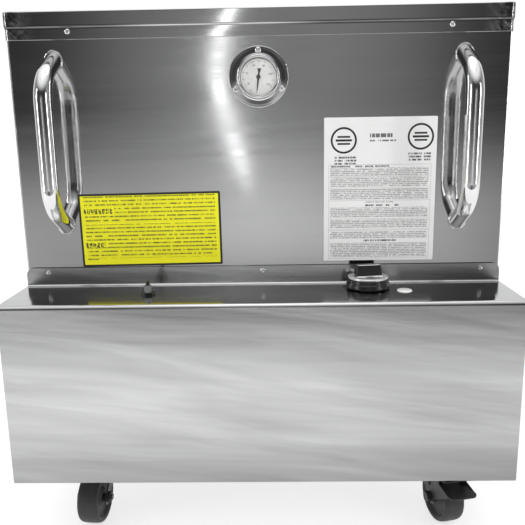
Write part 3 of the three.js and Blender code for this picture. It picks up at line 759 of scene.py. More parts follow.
# %% The folded cover
box_low, box_high = span("control_box_cover")
ledge = box_low.z + 257
wall = box_high.y - 1.5
fold = [(box_low.y + 14, box_low.z), (box_low.y, box_low.z), (box_low.y, ledge)]
fold += [(wall, ledge), (wall, box_high.z)]
fold = bent(fold, 5.0, 7)
round_end = [box_high.z - 10 + 10 * math.sin(math.radians(angle)) for angle in range(0, 90, 10)]
fold = fold[:-1] + [Vector((wall, height)) for height in round_end] + [fold[-1]]


def cover_reach(height):
    """Half the cover's width, drawn in where the flange's corners are rounded."""
    over = min(max(height - (box_high.z - 10), 0), 10)
    return box_high.x - (10 - math.sqrt(100 - over * over))


knob_at = middle("thermostat_knob")
lamp_at = middle("pilot_lamp_lens")
reset_at = middle("reset_collar")
cover = fresh("control_box_sheet", mesh_of("control_box_sheet", folded(fold, -1.5, cover_reach)))
bores = ((knob_at, 5), (lamp_at, 9), (reset_at, 5.5))
cutters = []
for at, radius in bores:
    shape = spun([(0, ledge - 6), (radius, ledge - 6), (radius, ledge + 6), (0, ledge + 6)], 32)
    cutters.append(placed(shape, Matrix.Translation((at.x, at.y, 0))))
drilled(cover, cutters)
smoothed(cover, 50)
dress(cover, (box_steel, ledge_steel), ("control_box_cover",))
for side in ("left", "right"):
    softened("control_box_end_" + side, box_steel, 0.3)
softened("base_pan", (mill_steel, mill_steel), 0.0)

# %% [markdown]
# ## The tube handles
#
# Each handle is one length of polished tube, bowed so that its legs lean inward, and welded straight
# to the tank's face with no flange. The bends are wide, so handle and mirror image close into a
# pointed oval. A thin fillet of weld, dressed smooth, runs round each foot.

# %% Handles
def grip(node):
    low, high = span(node)
    radius, lean, bend = 12, 30, 28
    face = high.y
    reach = low.y + radius - face
    slope = Vector((0, reach, -lean)).normalized()
    rise = radius / abs(slope.y)
    x, top, bottom = (low.x + high.x) / 2, high.z - rise, low.z + rise
    feet = [Vector((x, face, top)), Vector((x, face, bottom))]
    knees = [Vector((x, face + reach, top - lean)), Vector((x, face + reach, bottom + lean))]
    start, end = feet[0] - (knees[0] - feet[0]) * 0.14, feet[1] - (knees[1] - feet[1]) * 0.14
    shapes = [tube(bent([start, knees[0], knees[1], end], bend, 14), radius, 40)]
    bead = bent([(radius - 1, 0), (radius + 1.8, 0), (radius, 2.2), (radius - 1, 2.2)], 0.8, 3, True)
    stretch = Matrix.Diagonal((1, rise / radius, 1, 1))
    for foot in feet:
        shapes.append(placed(spun(bead, 40), upright_on_face(*foot) @ stretch))
    return together(*shapes)


for side in ("left", "right"):
    node = "handle_" + side
    piece(node + "_tube", grip(node), handle_steel, (node,), angle=60)

# %% [markdown]
# ## The thermometer
#
# A capillary thermometer sits in a raised, polished flange held by three screws. Behind the glass
# lie a pale dial with a ring of ticks and plain numbers, and a black needle with a diamond tail. The
# stem runs back through the insulation into the liquid. Round parts are spun from their outlines.

# %% Flange, bezel, dial, glass and stem
flange_low, flange_high = span("thermometer_flange")
gauge_x = (flange_low.x + flange_high.x) / 2
gauge_z = (flange_low.z + flange_high.z) / 2
on_gauge = upright_on_face(gauge_x, TANK_LOW.y, gauge_z)
flange_line = [(0, -10), (26.4, -10), (26.4, 0.3), (41.6, 0.3), (42, 0.8), (41.4, 1.7)]
flange_line += [(37, 2.3), (32, 3.3)]
flange_line += [(30.6, 4.0), (27.6, 4.0), (25.6, 2.8), (25.2, -8.6), (3.8, -8.6), (0, -8.6)]
flange_shape = spun(bent(flange_line, 0.7, 3), 72)
piece("gauge_flange", placed(flange_shape, on_gauge), gauge_steel, ("thermometer_flange",))
bezel_line = [(25.4, 3.5), (29.4, 3.5), (30, 4.4), (29.8, 8.2), (28.6, 9.5), (27.0, 9.6)]
bezel_line += [(26.0, 8.6), (25.6, 7.4)]
bezel_shape = spun(bent(bezel_line, 0.7, 3, True), 72)
piece("gauge_bezel", placed(bezel_shape, on_gauge), gauge_steel, ("thermometer_bezel",))
softened("thermometer_stem", gauge_steel, 0.4)
dial_line = bent([(0, 1), (24.9, 1), (24.9, 1.8), (0, 1.8)], 0.2, 2)
piece("gauge_dial", placed(spun(dial_line, 64), on_gauge), lamp_plastic, ("thermometer_dial",))

# %% [markdown]
# Ticks repeat by a rule, so Geometry Nodes lay them. The tree takes a tick's length, width, count and
# sweep, sets the bars on an arc, realises them and paints them. The result is converted to a mesh.

# %% A node group that lays ticks round an arc
class Layout(Bench):
    """A Geometry Nodes tree with named inputs."""

    def __init__(self, name, **wanted):
        super().__init__(bpy.data.node_groups.new(name, "GeometryNodeTree"))
        self.ids = {}
        kinds = {float: "NodeSocketFloat", int: "NodeSocketInt", tuple: "NodeSocketVector"}
        self.tree.interface.new_socket("Geometry", in_out="INPUT", socket_type="NodeSocketGeometry")
        self.tree.interface.new_socket("Geometry", in_out="OUTPUT", socket_type="NodeSocketGeometry")
        for key, value in wanted.items():
            kind = value if isinstance(value, str) else kinds[type(value)]
            self.ids[key] = self.tree.interface.new_socket(key, in_out="INPUT", socket_type=kind).identifier
        self.given = self.tree.nodes.new("NodeGroupInput")

    def input(self, name):
        return Wire(self, self.given.outputs[name])

    def finish(self, geometry, finish):
        """Ends the tree in Realize Instances and Set Material."""
        real = self.node("GeometryNodeRealizeInstances", None, {0: geometry})
        painted = self.node("GeometryNodeSetMaterial", None, {"Geometry": real, "Material": finish})
        ending = self.tree.nodes.new("NodeGroupOutput")
        self.tree.links.new(painted.socket, ending.inputs[0])

    def made(self, name, start, **values):
        """Runs the tree on a starting mesh and returns the result as a plain object."""
        thing = fresh(name, start)
        step = thing.modifiers.new("layout", "NODES")
        step.node_group = self.tree
        for key, value in values.items():
            step[self.ids[key]] = value
        return baked(thing)


def tick_tree(finish):
    tree = Layout("ticks", count=1, sweep=1.0, radius=1.0, size=(1.0, 1.0, 1.0))
    inputs = {"Count": tree.input("count"), "Offset": (0, 0, 0)}
    line = tree.node("GeometryNodeMeshLine", {"mode": "OFFSET"}, inputs)
    bar = tree.node("GeometryNodeMeshCube", None, {"Size": tree.input("size")})
    turn = tree.node("GeometryNodeInputIndex") / (tree.input("count") - 1) * tree.input("sweep")
    turned = tree.node("ShaderNodeCombineXYZ", None, {"X": 0.0, "Y": 0.0, "Z": turn})
    reach = tree.input("radius")
    at = tree.node("ShaderNodeCombineXYZ", None, {"X": turn.maths("COSINE", turn) * reach,
                                                  "Y": turn.maths("SINE", turn) * reach, "Z": 0.0})
    line = tree.node("GeometryNodeSetPosition", None, {"Geometry": line, "Position": at})
    inputs = {"Points": line, "Instance": bar, "Rotation": turned}
    tree.finish(tree.node("GeometryNodeInstanceOnPoints", None, inputs), finish)
    return tree


ink = moulded("printing_ink", (0.02, 0.02, 0.022), 0.5, 0.6, 0.002)
ticks = tick_tree(ink)
print("tick tree of", len(ticks.tree.nodes), "nodes")


# %% Ticks and numbers on the dial
def stood(thing, matrix):
    """Works a place into the mesh, given in millimetres, and leaves the object at the origin."""
    scaled = Matrix.Diagonal((MM, MM, MM, 1)) @ matrix @ Matrix.Diagonal((1 / MM, 1 / MM, 1 / MM, 1))
    thing.data.transform(scaled)
    thing.data.update()
    return thing


def tick_ring(name, matrix, count, sweep, radius, size):
    """Ticks from the arc's start, turned clockwise; the arc's start is local X."""
    values = {"count": count, "sweep": math.radians(-sweep), "radius": radius * MM}
    made = ticks.made(name, bpy.data.meshes.new(name), size=[side * MM for side in size], **values)
    return stood(made, matrix)


def baked_text(thing):
    bpy.context.view_layer.update()
    mesh = bpy.data.meshes.new_from_object(thing.evaluated_get(bpy.context.evaluated_depsgraph_get()))
    name = thing.name
    bpy.data.objects.remove(thing)
    return fresh(name, mesh)


def lettering(name, words, size, matrix, depth=0.12):
    """Plain numerals as a mesh, centred on a place."""
    curve = bpy.data.curves.new(name, "FONT")
    curve.body = words
    curve.size = size * MM
    curve.extrude = depth * MM / 2
    curve.align_x = "CENTER"
    curve.align_y = "CENTER"
    curve.resolution_u = 3
    return stood(baked_text(fresh(name, curve)), matrix)


def joined(name, things):
    """Several objects' meshes as one object."""
    work = bmesh.new()
    for thing in things:
        work.from_mesh(thing.data)
    for thing in things:
        bpy.data.objects.remove(thing)
    mesh = bpy.data.meshes.new(name)
    work.to_mesh(mesh)
    work.free()
    return fresh(name, mesh)


AT_REST = -7.4  # where the needle rests, in degrees anticlockwise from straight down
FIRST = AT_REST - 90  # the dial's zero, in degrees anticlockwise from the right
dial_face = on_gauge @ Matrix.Translation((0, 0, 1.86))
dial_turn = dial_face @ Matrix.Rotation(math.radians(FIRST), 4, "Z")
marks = [tick_ring("minor", dial_turn, 61, 300, 22.0, (1.6, 0.22, 0.1))]
marks.append(tick_ring("major", dial_turn, 13, 300, 21.4, (2.9, 0.5, 0.12)))
for index in range(7):
    angle = math.radians(FIRST - 50 * index)
    at = dial_face @ Matrix.Translation((math.cos(angle) * 16.6, math.sin(angle) * 16.6, 0))
    marks.append(lettering("number", str(20 * index), 3.4, at))
printing = joined("dial_printing", marks)
dress(printing, ink, body="tank")

# %% The needle
def needle_shape():
    low, high = 2.6, 3.2
    half = [(0.5, -19.0), (1.3, -6), (1.6, 0), (1.1, 5.0), (2.4, 11.0), (1.9, 11.5)]
    outline = [(0, -19.5)] + half + [(-x, y) for x, y in reversed(half)]
    hub = spun(bent([(0, 2.2), (3.0, 2.2), (3.0, 4.1), (2.4, 4.4), (0, 4.4)], 0.3, 2), 32)
    return together(slab(outline, low, high), hub)


needle = placed(needle_shape(), on_gauge @ Matrix.Rotation(math.radians(AT_REST), 4, "Z"))
piece("needle", needle, enamel, ("thermometer_pointer",), edge=0.1)

# %% The glass
glass = Finish("gauge_glass", transmission_weight=1.0)
glass.shader.inputs["IOR"].default_value = 1.2
dust = glass.noise(glass.coords((60, 60, 60)), 3.0)
glass.feed("Roughness", 0.02 + 0.06 * dust)
glass.feed("Base Color", glass.mixed(dust, grey(0.97), grey(1.0)))
lens = spun(bent([(0, 5.8), (26.4, 5.8), (26.4, 6.9), (0, 7.1)], 0.4, 2), 64)
piece("gauge_glass", placed(lens, on_gauge), glass.material, ("thermometer_glass",))

# %% [markdown]
# ## Printed labels
#
# Two film labels are stuck to the front: a white data sheet and a yellow notice with a black border.
# Their print is left unreadable on purpose, as rows of broken strokes. One finish draws it: the
# label's own left edge and top give a sheet position in millimetres, noise stretched along a row
# breaks it into words, and boxes say where there is small print, bold print and ruled lines.

# %% Print on film
def film(name, node, turn, colour):
    """A label finish, with the distance from its left edge and from its top in millimetres."""
    label = Finish(name)
    here = label.coords((1000, 1000, 1000), (0, turn, 0), middle(node) * MM)
    x, _, z = label.parts(here)
    wide, tall = SHEETS[node]
    label.x, label.y = x + wide / 2, tall / 2 - z
    label.colour = colour
    return label


SHEETS = {"rating_label": (160, 206), "notice_label": (208, 108)}


def within(value, start, end):
    return (value > start) * (value < end)


def area(label, left, right, top, bottom):
    return within(label.x, left, right) * within(label.y, top, bottom)


def rows(label, pitch, height, letter, shift=0.0):
    """Rows of small print: strokes a letter wide, gathered into words."""
    line = ((label.y + shift) / pitch).maths("FLOOR", (label.y + shift) / pitch)
    inside = ((label.y + shift) / pitch - line) < height
    at = label.node("ShaderNodeCombineXYZ", None, {"X": label.x / letter, "Y": line * 7.31, "Z": 0.0})
    strokes = label.noise(at, 0.0) > 0.42
    at = label.node("ShaderNodeCombineXYZ", None, {"X": label.x / (letter * 5.5), "Y": line * 3.77, "Z": 4.0})
    words = label.noise(at, 0.0) > 0.34
    return inside * strokes * words


def all_of(masks):
    total = masks[0]
    for mask in masks[1:]:
        total = total.maths("MAXIMUM", total, mask)
    return total


def printed(label, dark, light):
    """Ink and film: the film yellows and scuffs a little, and the ink sits slightly glossier."""
    cloud = label.noise(label.coords((25, 25, 25)), 3.0)
    grain = label.noise(label.coords((900, 900, 900)), 1.0)
    paper = label.mixed(cloud, tinted(label.colour, 0.94), tinted(label.colour, 1.02))
    tone = label.mixed(light, paper, tinted(label.colour, 0.42))
    label.feed("Base Color", label.mixed(dark, tone, (0.018, 0.018, 0.016, 1)))
    label.feed("Roughness", 0.42 + 0.12 * cloud - 0.06 * dark)
    label.raise_by((cloud, 0.15), (grain, 0.004))
    return label.material


print("label printing ready")

# %% The white data sheet
sheet = film("data_sheet_print", "rating_label", 0, (0.9, 0.9, 0.89))
small = rows(sheet, 2.6, 0.55, 0.62)
bold = rows(sheet, 4.3, 0.6, 1.0, 1.0)
texts = [(9, 150, 71, 82), (9, 150, 84, 98), (9, 150, 101, 117), (60, 100, 119, 121)]
texts += [(9, 150, 128, 143), (9, 150, 146, 158), (9, 150, 163, 174), (9, 150, 180, 201)]
small_areas = all_of([area(sheet, *box) for box in texts])
heads = [(15, 46, 53, 66), (120, 152, 50, 62), (10, 93, 66, 70), (60, 108, 122, 127), (58, 106, 174, 179)]
bold_areas = all_of([area(sheet, *box) for box in heads])
rules = [abs(sheet.y - at) < 0.22 for at in (66.8, 83, 99.5, 118, 144.5, 160, 161.6, 203)]
rules = all_of(rules) * within(sheet.x, 7, 153)
posts = all_of([abs(sheet.x - at) < 0.22 for at in (7, 153)]) * within(sheet.y, 66.8, 203)
cells = all_of([abs(sheet.x - at) < 0.22 for at in (36, 58, 88, 116)]) * within(sheet.y, 144.5, 160)
badges = []
for at, down in ((28, 32), (137, 28)):
    off_x, off_y = abs(sheet.x - at), abs(sheet.y - down)
    reach = (off_x * off_x + off_y * off_y) ** 0.5
    badges.append(abs(reach - 17.2) < 1.4)
    badges.append(within(off_y, 3.6, 6.2) * (off_x < 9))
    badges.append((off_y < 1.5) * (off_x < 11.5))
mark = rows(sheet, 9.0, 0.62, 2.3, 4.2) * area(sheet, 65, 102, 23, 34)
inks = [small * small_areas * 0.62, bold * bold_areas * 0.9, rules * 0.55, posts * 0.5]
dark = all_of(inks + [cells * 0.5, mark * 0.85] + badges)
sheet_print = printed(sheet, dark, small_areas * 0.16)

# %% The yellow notice
notice = film("notice_print", "notice_label", 0.6, (0.97, 0.93, 0.01))
small = rows(notice, 5.75, 0.36, 0.95, -3.6)
texts = [(8, 200, 3.7, 20), (52, 200, 21, 32), (8, 200, 32.4, 43), (8, 200, 45, 70), (40, 200, 72, 79)]
texts += [(8, 200, 79, 96), (8, 24, 96, 101)]
small_areas = all_of([area(notice, *box) for box in texts])
heading = all_of([area(notice, 7, 49, 22, 29.5), area(notice, 7, 36, 72, 79)])
cell = notice.x / 5.6 - (notice.x / 5.6).maths("FLOOR", notice.x / 5.6)
at = notice.node("ShaderNodeCombineXYZ", None, {"X": notice.x / 1.9, "Y": notice.y / 2.1, "Z": 2.0})
letters = within(cell, 0.1, 0.88) * (notice.noise(at, 0.0) > 0.43)
border = 1 - area(notice, 3, 205, 3, 105)
dark = all_of([small * small_areas * 0.8, heading * letters * 0.92, border])
notice_print = printed(notice, dark, small_areas * 0.1)


# %% The labels themselves
def label_sheet(node, turn, corner=1.5):
    wide, tall = SHEETS[node]
    x, y = wide / 2, tall / 2
    outline = bent([(-x, -y), (x, -y), (x, y), (-x, y)], corner, 4, True)
    at = middle(node)
    place = upright_on_face(at.x, TANK_LOW.y, at.z) @ Matrix.Rotation(math.radians(turn), 4, "Z")
    return placed(slab(outline, 0.3, 0.6), place)


piece("data_sheet", label_sheet("rating_label", 0), sheet_print, ("rating_label",))
piece("notice_sheet", label_sheet("notice_label", 0.6), notice_print, ("notice_label",))

# %% [markdown]
# ## Controls on the ledge
#
# The thermostat knob is a black moulding in three steps: a skirt, a chromed ring with a scale, and a
# grip bar with a white line along its top. Beside it sits the pilot lamp's domed lens, and at the
# other end the limit reset: a nut, a threaded neck and a small plunger.

# %% The thermostat knob
turn = Matrix.Translation((knob_at.x, knob_at.y, ledge)) @ Matrix.Rotation(math.radians(9), 4, "Z")
shoulder, ring_top = 15.5, 19.0
skirt_line = [(0, 0.6), (26, 0.6), (31.4, 3.6), (31.6, 5), (30.2, 9.5), (28.8, 11)]
skirt_line += [(28.6, shoulder), (12, shoulder), (12, ring_top + 0.4), (0, ring_top + 0.4)]
skirt = spun(bent(skirt_line, 0.9, 3), 72)
half_low, half_high, deep, bar_top = 19.5, 17.5, 7, 35.0
bar_points = []
sections = [(ring_top + 0.2, half_low, deep), (30, half_low - 0.8, deep - 0.4)]
sections.append((bar_top, half_high, deep - 1.2))
for z, half, depth in sections:
    outline = bent([(-half, -depth), (half, -depth), (half, depth), (-half, depth)], 3.0, 4, True)
    bar_points.append([(*point, z) for point in outline])
size = len(bar_points[0])
bar_faces = [list(range(size)), list(range(2 * size, 3 * size))]
for ring in range(2):
    for corner in range(size):
        beyond = (corner + 1) % size
        a, b = ring * size, ring * size + size
        bar_faces.append([a + corner, a + beyond, b + beyond, b + corner])
bar = ([point for ring in bar_points for point in ring], bar_faces)
shaft = spun([(0, -20), (3, -20), (3, 1), (0, 1)], 24)
knob = together(skirt, bar, shaft)
piece("knob", placed(knob, turn), black_plastic, ("thermostat_knob",), edge=0.5, angle=45)
ring_line = [(12.4, 15.8), (28.0, 15.8), (28.6, 16.4), (28.6, 18.2), (27.4, ring_top), (12.4, ring_top)]
ring_line = bent(ring_line, 0.5, 3, True)
piece("knob_scale_ring", placed(spun(ring_line, 72), turn), knob_chrome, ("knob_ring",))
white_paint = moulded("white_line_paint", (0.85, 0.85, 0.83), 0.45, 0.5, 0.003, worn=0.2)
line = bent([(-15.5, -6.4), (15.5, -6.4), (15.5, -4.2), (-15.5, -4.2)], 0.8, 3, True)
line = slab(line, bar_top - 0.1, bar_top + 0.25)
foot = bent([(-18.5, -10.2), (18.5, -10.2), (18.5, -7.6), (-18.5, -7.6)], 0.8, 3, True)
foot = slab(foot, ring_top - 0.1, ring_top + 0.9)
lines = placed(together(line, foot), turn)
piece("knob_white_lines", lines, white_paint, body="thermostat_knob")
ring_turn = turn @ Matrix.Translation((0, 0, ring_top + 0.06)) @ Matrix.Rotation(math.radians(-125), 4, "Z")
marks = [tick_ring("ring_minor", ring_turn, 37, 290, 26.2, (1.6, 0.3, 0.1))]
marks.append(tick_ring("ring_major", ring_turn, 10, 290, 25.4, (3.2, 0.6, 0.12)))
dress(joined("knob_scale", marks), ink, body="thermostat_knob")

# %% The pilot lamp and the reset
lamp_line = [(0, 0.3), (10.8, 0.3), (10.8, 1.6), (9.6, 2.9), (6, 3.5), (0, 3.7)]
on_lamp = Matrix.Translation((lamp_at.x, lamp_at.y, ledge))
lens = placed(spun(bent(lamp_line, 0.7, 3), 48), on_lamp)
piece("pilot_lens", lens, lamp_plastic, ("pilot_lamp_lens",))
on_reset = Matrix.Translation((reset_at.x, reset_at.y, ledge))
neck = [(2.95, -1.2), (5.15, -1.2), (5.15, 3.9)]
for turn_index in range(10):
    height = 4.2 + turn_index * 1.0
    neck += [(5.2, height), (4.7, height + 0.5)]
neck += [(5.1, 14.2), (4.6, 15), (3.3, 15), (2.95, 14.6)]
six = [math.radians(60 * side) for side in range(6)]
nut = slab([(9.9 * math.cos(angle), 9.9 * math.sin(angle)) for angle in six], 1.3, 5.2)
washer = spun(bent([(5.3, 0.3), (10.3, 0.3), (10.3, 1.3), (5.3, 1.3)], 0.25, 2, True), 40)
nut_turned = placed(nut, Matrix.Rotation(math.radians(12), 4, "Z"))
collar = placed(together(spun(neck, 36), nut_turned, washer), on_reset)
piece("reset_neck", collar, black_plastic, ("reset_collar",), edge=0.2)
plunger_line = bent([(0, -8), (2.7, -8), (2.7, 20.2), (2.0, 21), (0, 21)], 0.5, 3)
plunger = placed(spun(plunger_line, 32), on_reset)
piece("reset_plunger_pin", plunger, enamel, ("reset_button",))

# %% [markdown]
# ## Screws
#
# The screws are one pan head with a cross cut in it, copied to a list of places. The tree puts a copy
# on every point of a mesh and turns each by a seeded random angle about its own axis, as real screws
# end up. Heads on the front face the viewer, and heads on the sides are turned to suit.

# %% A screw head and the tree that copies it
head_line = bent([(0, 0), (3.9, 0), (3.8, 1.0), (2.6, 2.1), (0, 2.4)], 0.7, 3)
head = fresh("screw_head", mesh_of("screw_head", spun(head_line, 20)))
cross = [slab([(-1.9, -0.42), (1.9, -0.42), (1.9, 0.42), (-1.9, 0.42)], 1.2, 3)]
cross.append(slab([(-0.42, -1.9), (0.42, -1.9), (0.42, 1.9), (-0.42, 1.9)], 1.2, 3))
for blade in cross:
    drilled(head, [blade])
smoothed(head, 35)
copies = Layout("screw_copies", head="NodeSocketObject", turn=(0.0, 0.0, 0.0), seed=1, size=1.0)
inputs = {"Object": copies.input("head")}
source = copies.node("GeometryNodeObjectInfo", {"transform_space": "ORIGINAL"}, inputs, "Geometry")
inputs = {2: 0.0, 3: math.tau, "Seed": copies.input("seed")}  # 2 and 3: lowest and highest
spin = copies.node("FunctionNodeRandomValue", {"data_type": "FLOAT"}, inputs, 1)
own = copies.node("ShaderNodeCombineXYZ", None, {"X": 0.0, "Y": 0.0, "Z": spin})
start = copies.node("FunctionNodeEulerToRotation", None, {0: copies.input("turn")})
twist = copies.node("FunctionNodeEulerToRotation", None, {0: own})
both = copies.node("FunctionNodeRotateRotation", {"rotation_space": "LOCAL"}, {0: start, 1: twist})
inputs = {"Points": copies.input("Geometry"), "Instance": source, "Rotation": both}
inputs["Scale"] = copies.input("size")
copies.finish(copies.node("GeometryNodeInstanceOnPoints", None, inputs), screw_steel)
print("screw tree of", len(copies.tree.nodes), "nodes")


def screws(name, places, turn, seed, size=1.0):
    """Heads at places in millimetres; local Z of each head is turned by the angles given."""
    angles = [math.radians(angle) for angle in turn]
    return copies.made(name, wired(name, places), head=head, turn=angles, seed=seed, size=size)


# %% Where the screws go
FRONTWARD, REARWARD, LEFTWARD, RIGHTWARD = (90, 0, 0), (-90, 0, 0), (0, -90, 0), (0, 90, 0)
tank_x, front_y, rear_y = TANK_HIGH.x, TANK_LOW.y, TANK_HIGH.y
rim_row = rim_low.z + 10.5
strip_row = box_high.z - 7.2
shown = [screws("rim_front", [(x, front_y - 1.8, rim_row) for x in (-263, 267)], FRONTWARD, 3)]
shown.append(screws("rim_rear", [(x, rear_y + 1.8, rim_row) for x in (-265, 0, 265)], REARWARD, 4))
shown.append(screws("rim_left", [(-tank_x - 1.8, y, rim_row) for y in (-170, 210)], LEFTWARD, 5))
shown.append(screws("rim_right", [(tank_x + 1.8, y, rim_row) for y in (-170, 210)], RIGHTWARD, 6))
shown.append(screws("strip", [(x, wall, strip_row) for x in (-317, 2, 322)], FRONTWARD, 7))
around = [math.radians(angle) for angle in (90, 207, 333)]
ring_places = [(gauge_x + 36 * math.cos(a), front_y - 2.25, gauge_z + 36 * math.sin(a)) for a in around]
shown.append(screws("gauge", ring_places, FRONTWARD, 8, 1.15))
end_rows = (box_low.z + 25, (box_low.z + ledge) / 2, ledge - 25)
for side, outward in ((-1, LEFTWARD), (1, RIGHTWARD)):
    places = [(side * tank_x, y, z) for y in (box_low.y + 12, wall - 12) for z in end_rows]
    shown.append(screws("box_end", places, outward, 11 + side))
bpy.data.objects.remove(head)
dress(smoothed(joined("screws", shown), 40), screw_steel, body="tank")

# %% [markdown]
# ## Castors
#
# Four plate castors carry the tank, and the front right one has a brake pedal. Their pressed forks
# and plates, and the pedal, come from the frame with their edges softened, as pressed sheet has. The
# wheels are spun: a rubber tread with rounded shoulders, a dished side and a raised hub.

# %% Forks, plates, axles, wheels and the pedal
CORNERS = ("front_left", "front_right", "rear_left", "rear_right")
half_tread = [(6, 13), (12, 13.4), (14, 10.5), (27, 9.5), (30, 13.6), (33, 15.8), (35.8, 15.4)]
half_tread += [(37.4, 12.4), (38, 7)]
tread = [(reach, -out) for reach, out in half_tread] + half_tread[::-1]
wheel_shape = spun(bent(tread, 1.6, 3, True), 72)
for corner in CORNERS:
    for kind in ("castor_plate_", "castor_fork_"):
        softened(kind + corner, castor_steel, 0.5)
    softened("castor_axle_" + corner, castor_steel, 0.35)
    joint = JOINTS["wheel_roll_" + corner]
    axle = Vector(joint["axis"])
    turn = axle.to_track_quat("Z", "Y").to_matrix().to_4x4()
    place = Matrix.Translation(Vector(joint["pos_m"]) / MM) @ turn
    node = "castor_wheel_" + corner
    piece(node + "_tyre", placed(wheel_shape, place), tyre_rubber, (node,), angle=50)
softened("brake_pedal_front_right", castor_steel, 0.6)

# %% [markdown]
# Each plate is bolted up through the pan. The bolt heads are hexagons laid by a tree too: four to a
# plate, round its middle.

# %% Castor bolts
bolts = Layout("bolt_heads", radius=1.0, height=1.0)
inputs = {"Vertices": 6, "Radius": bolts.input("radius"), "Depth": bolts.input("height")}
hexagon = bolts.node("GeometryNodeMeshCylinder", None, inputs)
inputs = {"Points": bolts.input("Geometry"), "Instance": hexagon}
bolts.finish(bolts.node("GeometryNodeInstanceOnPoints", None, inputs), zinc)
places = []
for corner in CORNERS:
    at = middle("castor_plate_" + corner)
    places += [(at.x + 21 * i, at.y + 29 * j, 97.3) for i in (-1, 1) for j in (-1, 1)]
bolt_heads = bolts.made("castor_bolts", wired("bolts", places), radius=5.2 * MM, height=3.4 * MM)
dress(smoothed(bolt_heads, 30, 0.4), zinc, body="tank")

# %% [markdown]
# ## Lid and basket
#
# The lid is a pressed pan lid: an outer edge that rests on the rim, a skirt that drops just inside
# it, and a raised panel. The basket is welded from wire: a heavy top rod, two lighter bands, and
# bent wires that run down one side, across the bottom and up the other.

# %% The lid
lid_low, lid_high = span("lid")
base = lid_low.z + 20
edge_line = [(-59.5, base), (-38, base), (-38, lid_low.z), (-36.6, lid_low.z), (-36.6, base)]
edge_line += [(-13.6, base), (-13, base + 0.7), (-13.6, base + 1.5), (-57, base + 1.5)]
edge_line += [(-61, lid_high.z), (-70, lid_high.z)]
edge_line = [(-70, lid_high.z - 1.5), (-62.2, lid_high.z - 1.5)] + edge_line
edge_line = bent(edge_line, 1.2, 3)
lid_profile = [(point.x, point.y, 7 + max(-13 - point.x, 0) * 0.2) for point in edge_line]
lid_finishes = (face_steel, ledge_steel)
piece("lid_sheet", carried(lid_profile, False), lid_finishes, ("lid",), angle=50)
grip_low, grip_high = span("lid_handle")
grip_bar = 6
x_reach, y_mid = grip_high.x - grip_bar, (grip_low.y + grip_high.y) / 2
foot_z, top_z = grip_low.z, grip_high.z - grip_bar
bow = [(-x_reach, y_mid, foot_z), (-x_reach, y_mid, top_z), (x_reach, y_mid, top_z), (x_reach, y_mid, foot_z)]
bow = bent(bow, 14, 10)
piece("lid_grip", tube(bow, grip_bar, 28), handle_steel, ("lid_handle",), angle=60)

# %% A tree that makes wires
wires = Layout("bent_wires", radius=1.0, corner=1.0, count=1, step=(0.0, 0.0, 0.0))
path = wires.node("GeometryNodeMeshToCurve", None, {"Mesh": wires.input("Geometry")})
inputs = {"Curve": path, "Radius": wires.input("corner"), "Count": 3}
path = wires.node("GeometryNodeFilletCurve", {"mode": "POLY"}, inputs)
inputs = {"Resolution": 8, "Radius": wires.input("radius")}
section = wires.node("GeometryNodeCurvePrimitiveCircle", None, inputs)
inputs = {"Curve": path, "Profile Curve": section, "Fill Caps": True}
wire = wires.node("GeometryNodeCurveToMesh", None, inputs)
inputs = {"Count": wires.input("count"), "Offset": wires.input("step")}
line = wires.node("GeometryNodeMeshLine", {"mode": "OFFSET"}, inputs)
wires.finish(wires.node("GeometryNodeInstanceOnPoints", None, {"Points": line, "Instance": wire}), mill_steel)
print("wire tree of", len(wires.tree.nodes), "nodes")


def wire_row(name, path, radius, corner, count, step, closed=False):
    """One bent wire, or several set a step apart, from a path in millimetres."""
    edges = [(index, index + 1) for index in range(len(path) - 1)]
    if closed:
        edges.append((len(path) - 1, 0))
    step = [value * MM for value in step]
    values = {"radius": radius * MM, "corner": corner * MM, "count": count, "step": step}
    return wires.made(name, wired(name, path, edges), **values)


# %% The basket
basket_low, basket_high = span("basket")
top = basket_high.z - 35
bottom = basket_low.z
thick, thin, bail_room = 3.4, 1.5, 4
x0, x1 = basket_low.x + bail_room + thick, basket_high.x - bail_room - thick
y0, y1 = basket_low.y + thick, basket_high.y - thick
count_x, count_y = 27, 17
step_x, step_y = (x1 - x0 - 20) / (count_x - 1), (y1 - y0 - 20) / (count_y - 1)
u_wire = [(x0 + 10, y, z) for y, z in ((y0, top - 3), (y0, bottom + 3), (y1, bottom + 3), (y1, top - 3))]
parts = [wire_row("long_way", u_wire, thin, 10, count_x, (step_x, 0, 0))]
v_wire = [(x, y0 + 10, z) for x, z in ((x0, top - 3), (x0, bottom + 6), (x1, bottom + 6), (x1, top - 3))]
parts.append(wire_row("cross_way", v_wire, thin, 10, count_y, (0, step_y, 0)))
hoop = [(x0, y0, bottom + 60), (x1, y0, bottom + 60), (x1, y1, bottom + 60), (x0, y1, bottom + 60)]
parts.append(wire_row("bands", hoop, 2.4, 14, 6, (0, 0, 62), True))
hoop = [(x, y, top - thick) for x, y, _ in hoop]
parts.append(wire_row("top_rod", hoop, thick, 14, 1, (0, 0, 0), True))
bail_y, bail_half, bail_top = (basket_low.y + basket_high.y) / 2, 48, basket_high.z - 5
for x in (basket_low.x + 5, basket_high.x - 5):
    bail = [(x, bail_y - bail_half, top - 60), (x, bail_y - bail_half, bail_top)]
    bail += [(x, bail_y + bail_half, bail_top), (x, bail_y + bail_half, top - 60)]
    parts.append(wire_row("bail", bail, 5, 14, 1, (0, 0, 0)))
dress(smoothed(joined("wire_basket", parts), 50), mill_steel, ("basket",))

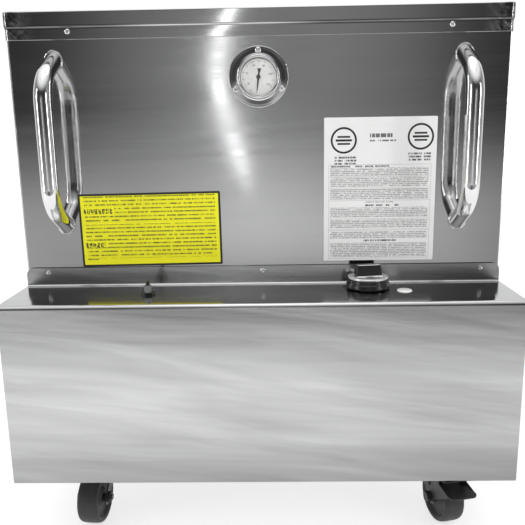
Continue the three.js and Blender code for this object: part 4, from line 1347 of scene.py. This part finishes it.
# %% [markdown]
# ## Inside, below and behind
#
# The heater, drain, thermostat bulb and wiring parts are hidden in the usual view but are part of
# the machine. Tubes and turned parts are remade smooth; blocks keep the frame's shape with softened
# edges and their own finish.

# %% The heater and the parts that keep the frame's shape
rod_low, rod_high = span("heating_element")
z, x, r = (rod_low.z + rod_high.z) / 2, rod_high.x - 5.5, 5.5
hairpin = [(-x, rod_low.y, z), (-x, rod_high.y - r, z), (x, rod_high.y - r, z), (x, rod_low.y, z)]
rod = tube(bent(hairpin, 24.5, 12), r, 20)
piece("heater_rod", rod, mill_steel, ("heating_element",), angle=60)
groups = [(brass, "brass", ["heater_flange"]), (copper, "copper", ["thermostat_bulb"])]
groups.append((brass, "brass", ["drain_pipe", "drain_valve_body"]))
groups += [(knob_chrome, "polished_steel", ["drain_ball"]), (zinc, "zinc_plate", ["drain_lever"])]
mouldings = ["cable_gland", "contactor", "limit_thermostat_body"]
mouldings += ["pilot_lamp_body", "terminal_block", "thermostat_body"]
groups.append((grey_plastic, "grey_plastic", mouldings))
groups.append((wool, "mineral_wool", ["insulation_jacket", "insulation_floor"]))
groups.append((mill_steel, "mill_steel", ["basket_rail_left", "basket_rail_right"]))
for finish, slot, nodes in groups:
    edge = 0.0 if finish == wool else 0.4
    for node in nodes:
        softened(node, finish, edge)

# %% [markdown]
# ## The floor and the frame's size
#
# The floor is a wide, plain white sheet lit faintly from below, as a light table is, so that it runs
# into the pale room behind without a horizon and only a soft shadow stays under the tank. The frame's
# size is printed at the end.

# %% The floor
paint = Finish("pale_floor", roughness=0.6)
paint.shader.inputs["Emission Color"].default_value = (1, 1, 1, 1)
paint.shader.inputs["Emission Strength"].default_value = 0.66
speck = paint.noise(paint.coords((40, 40, 40)), 3.0)
paint.feed("Base Color", paint.mixed(speck, grey(0.43), grey(0.47)))
paint.feed("Roughness", 0.55 + 0.15 * speck)
floor_corners = [(-7000, -1300), (7000, -1300), (7000, 9000), (-7000, 9000)]
floor = fresh("floor", mesh_of("floor", slab(floor_corners, -12, -0.5)))
floor.data.materials.append(paint.material)

# %% The frame's size
print("frame", [[round(value, 4) for value in corner] for corner in cad_box])
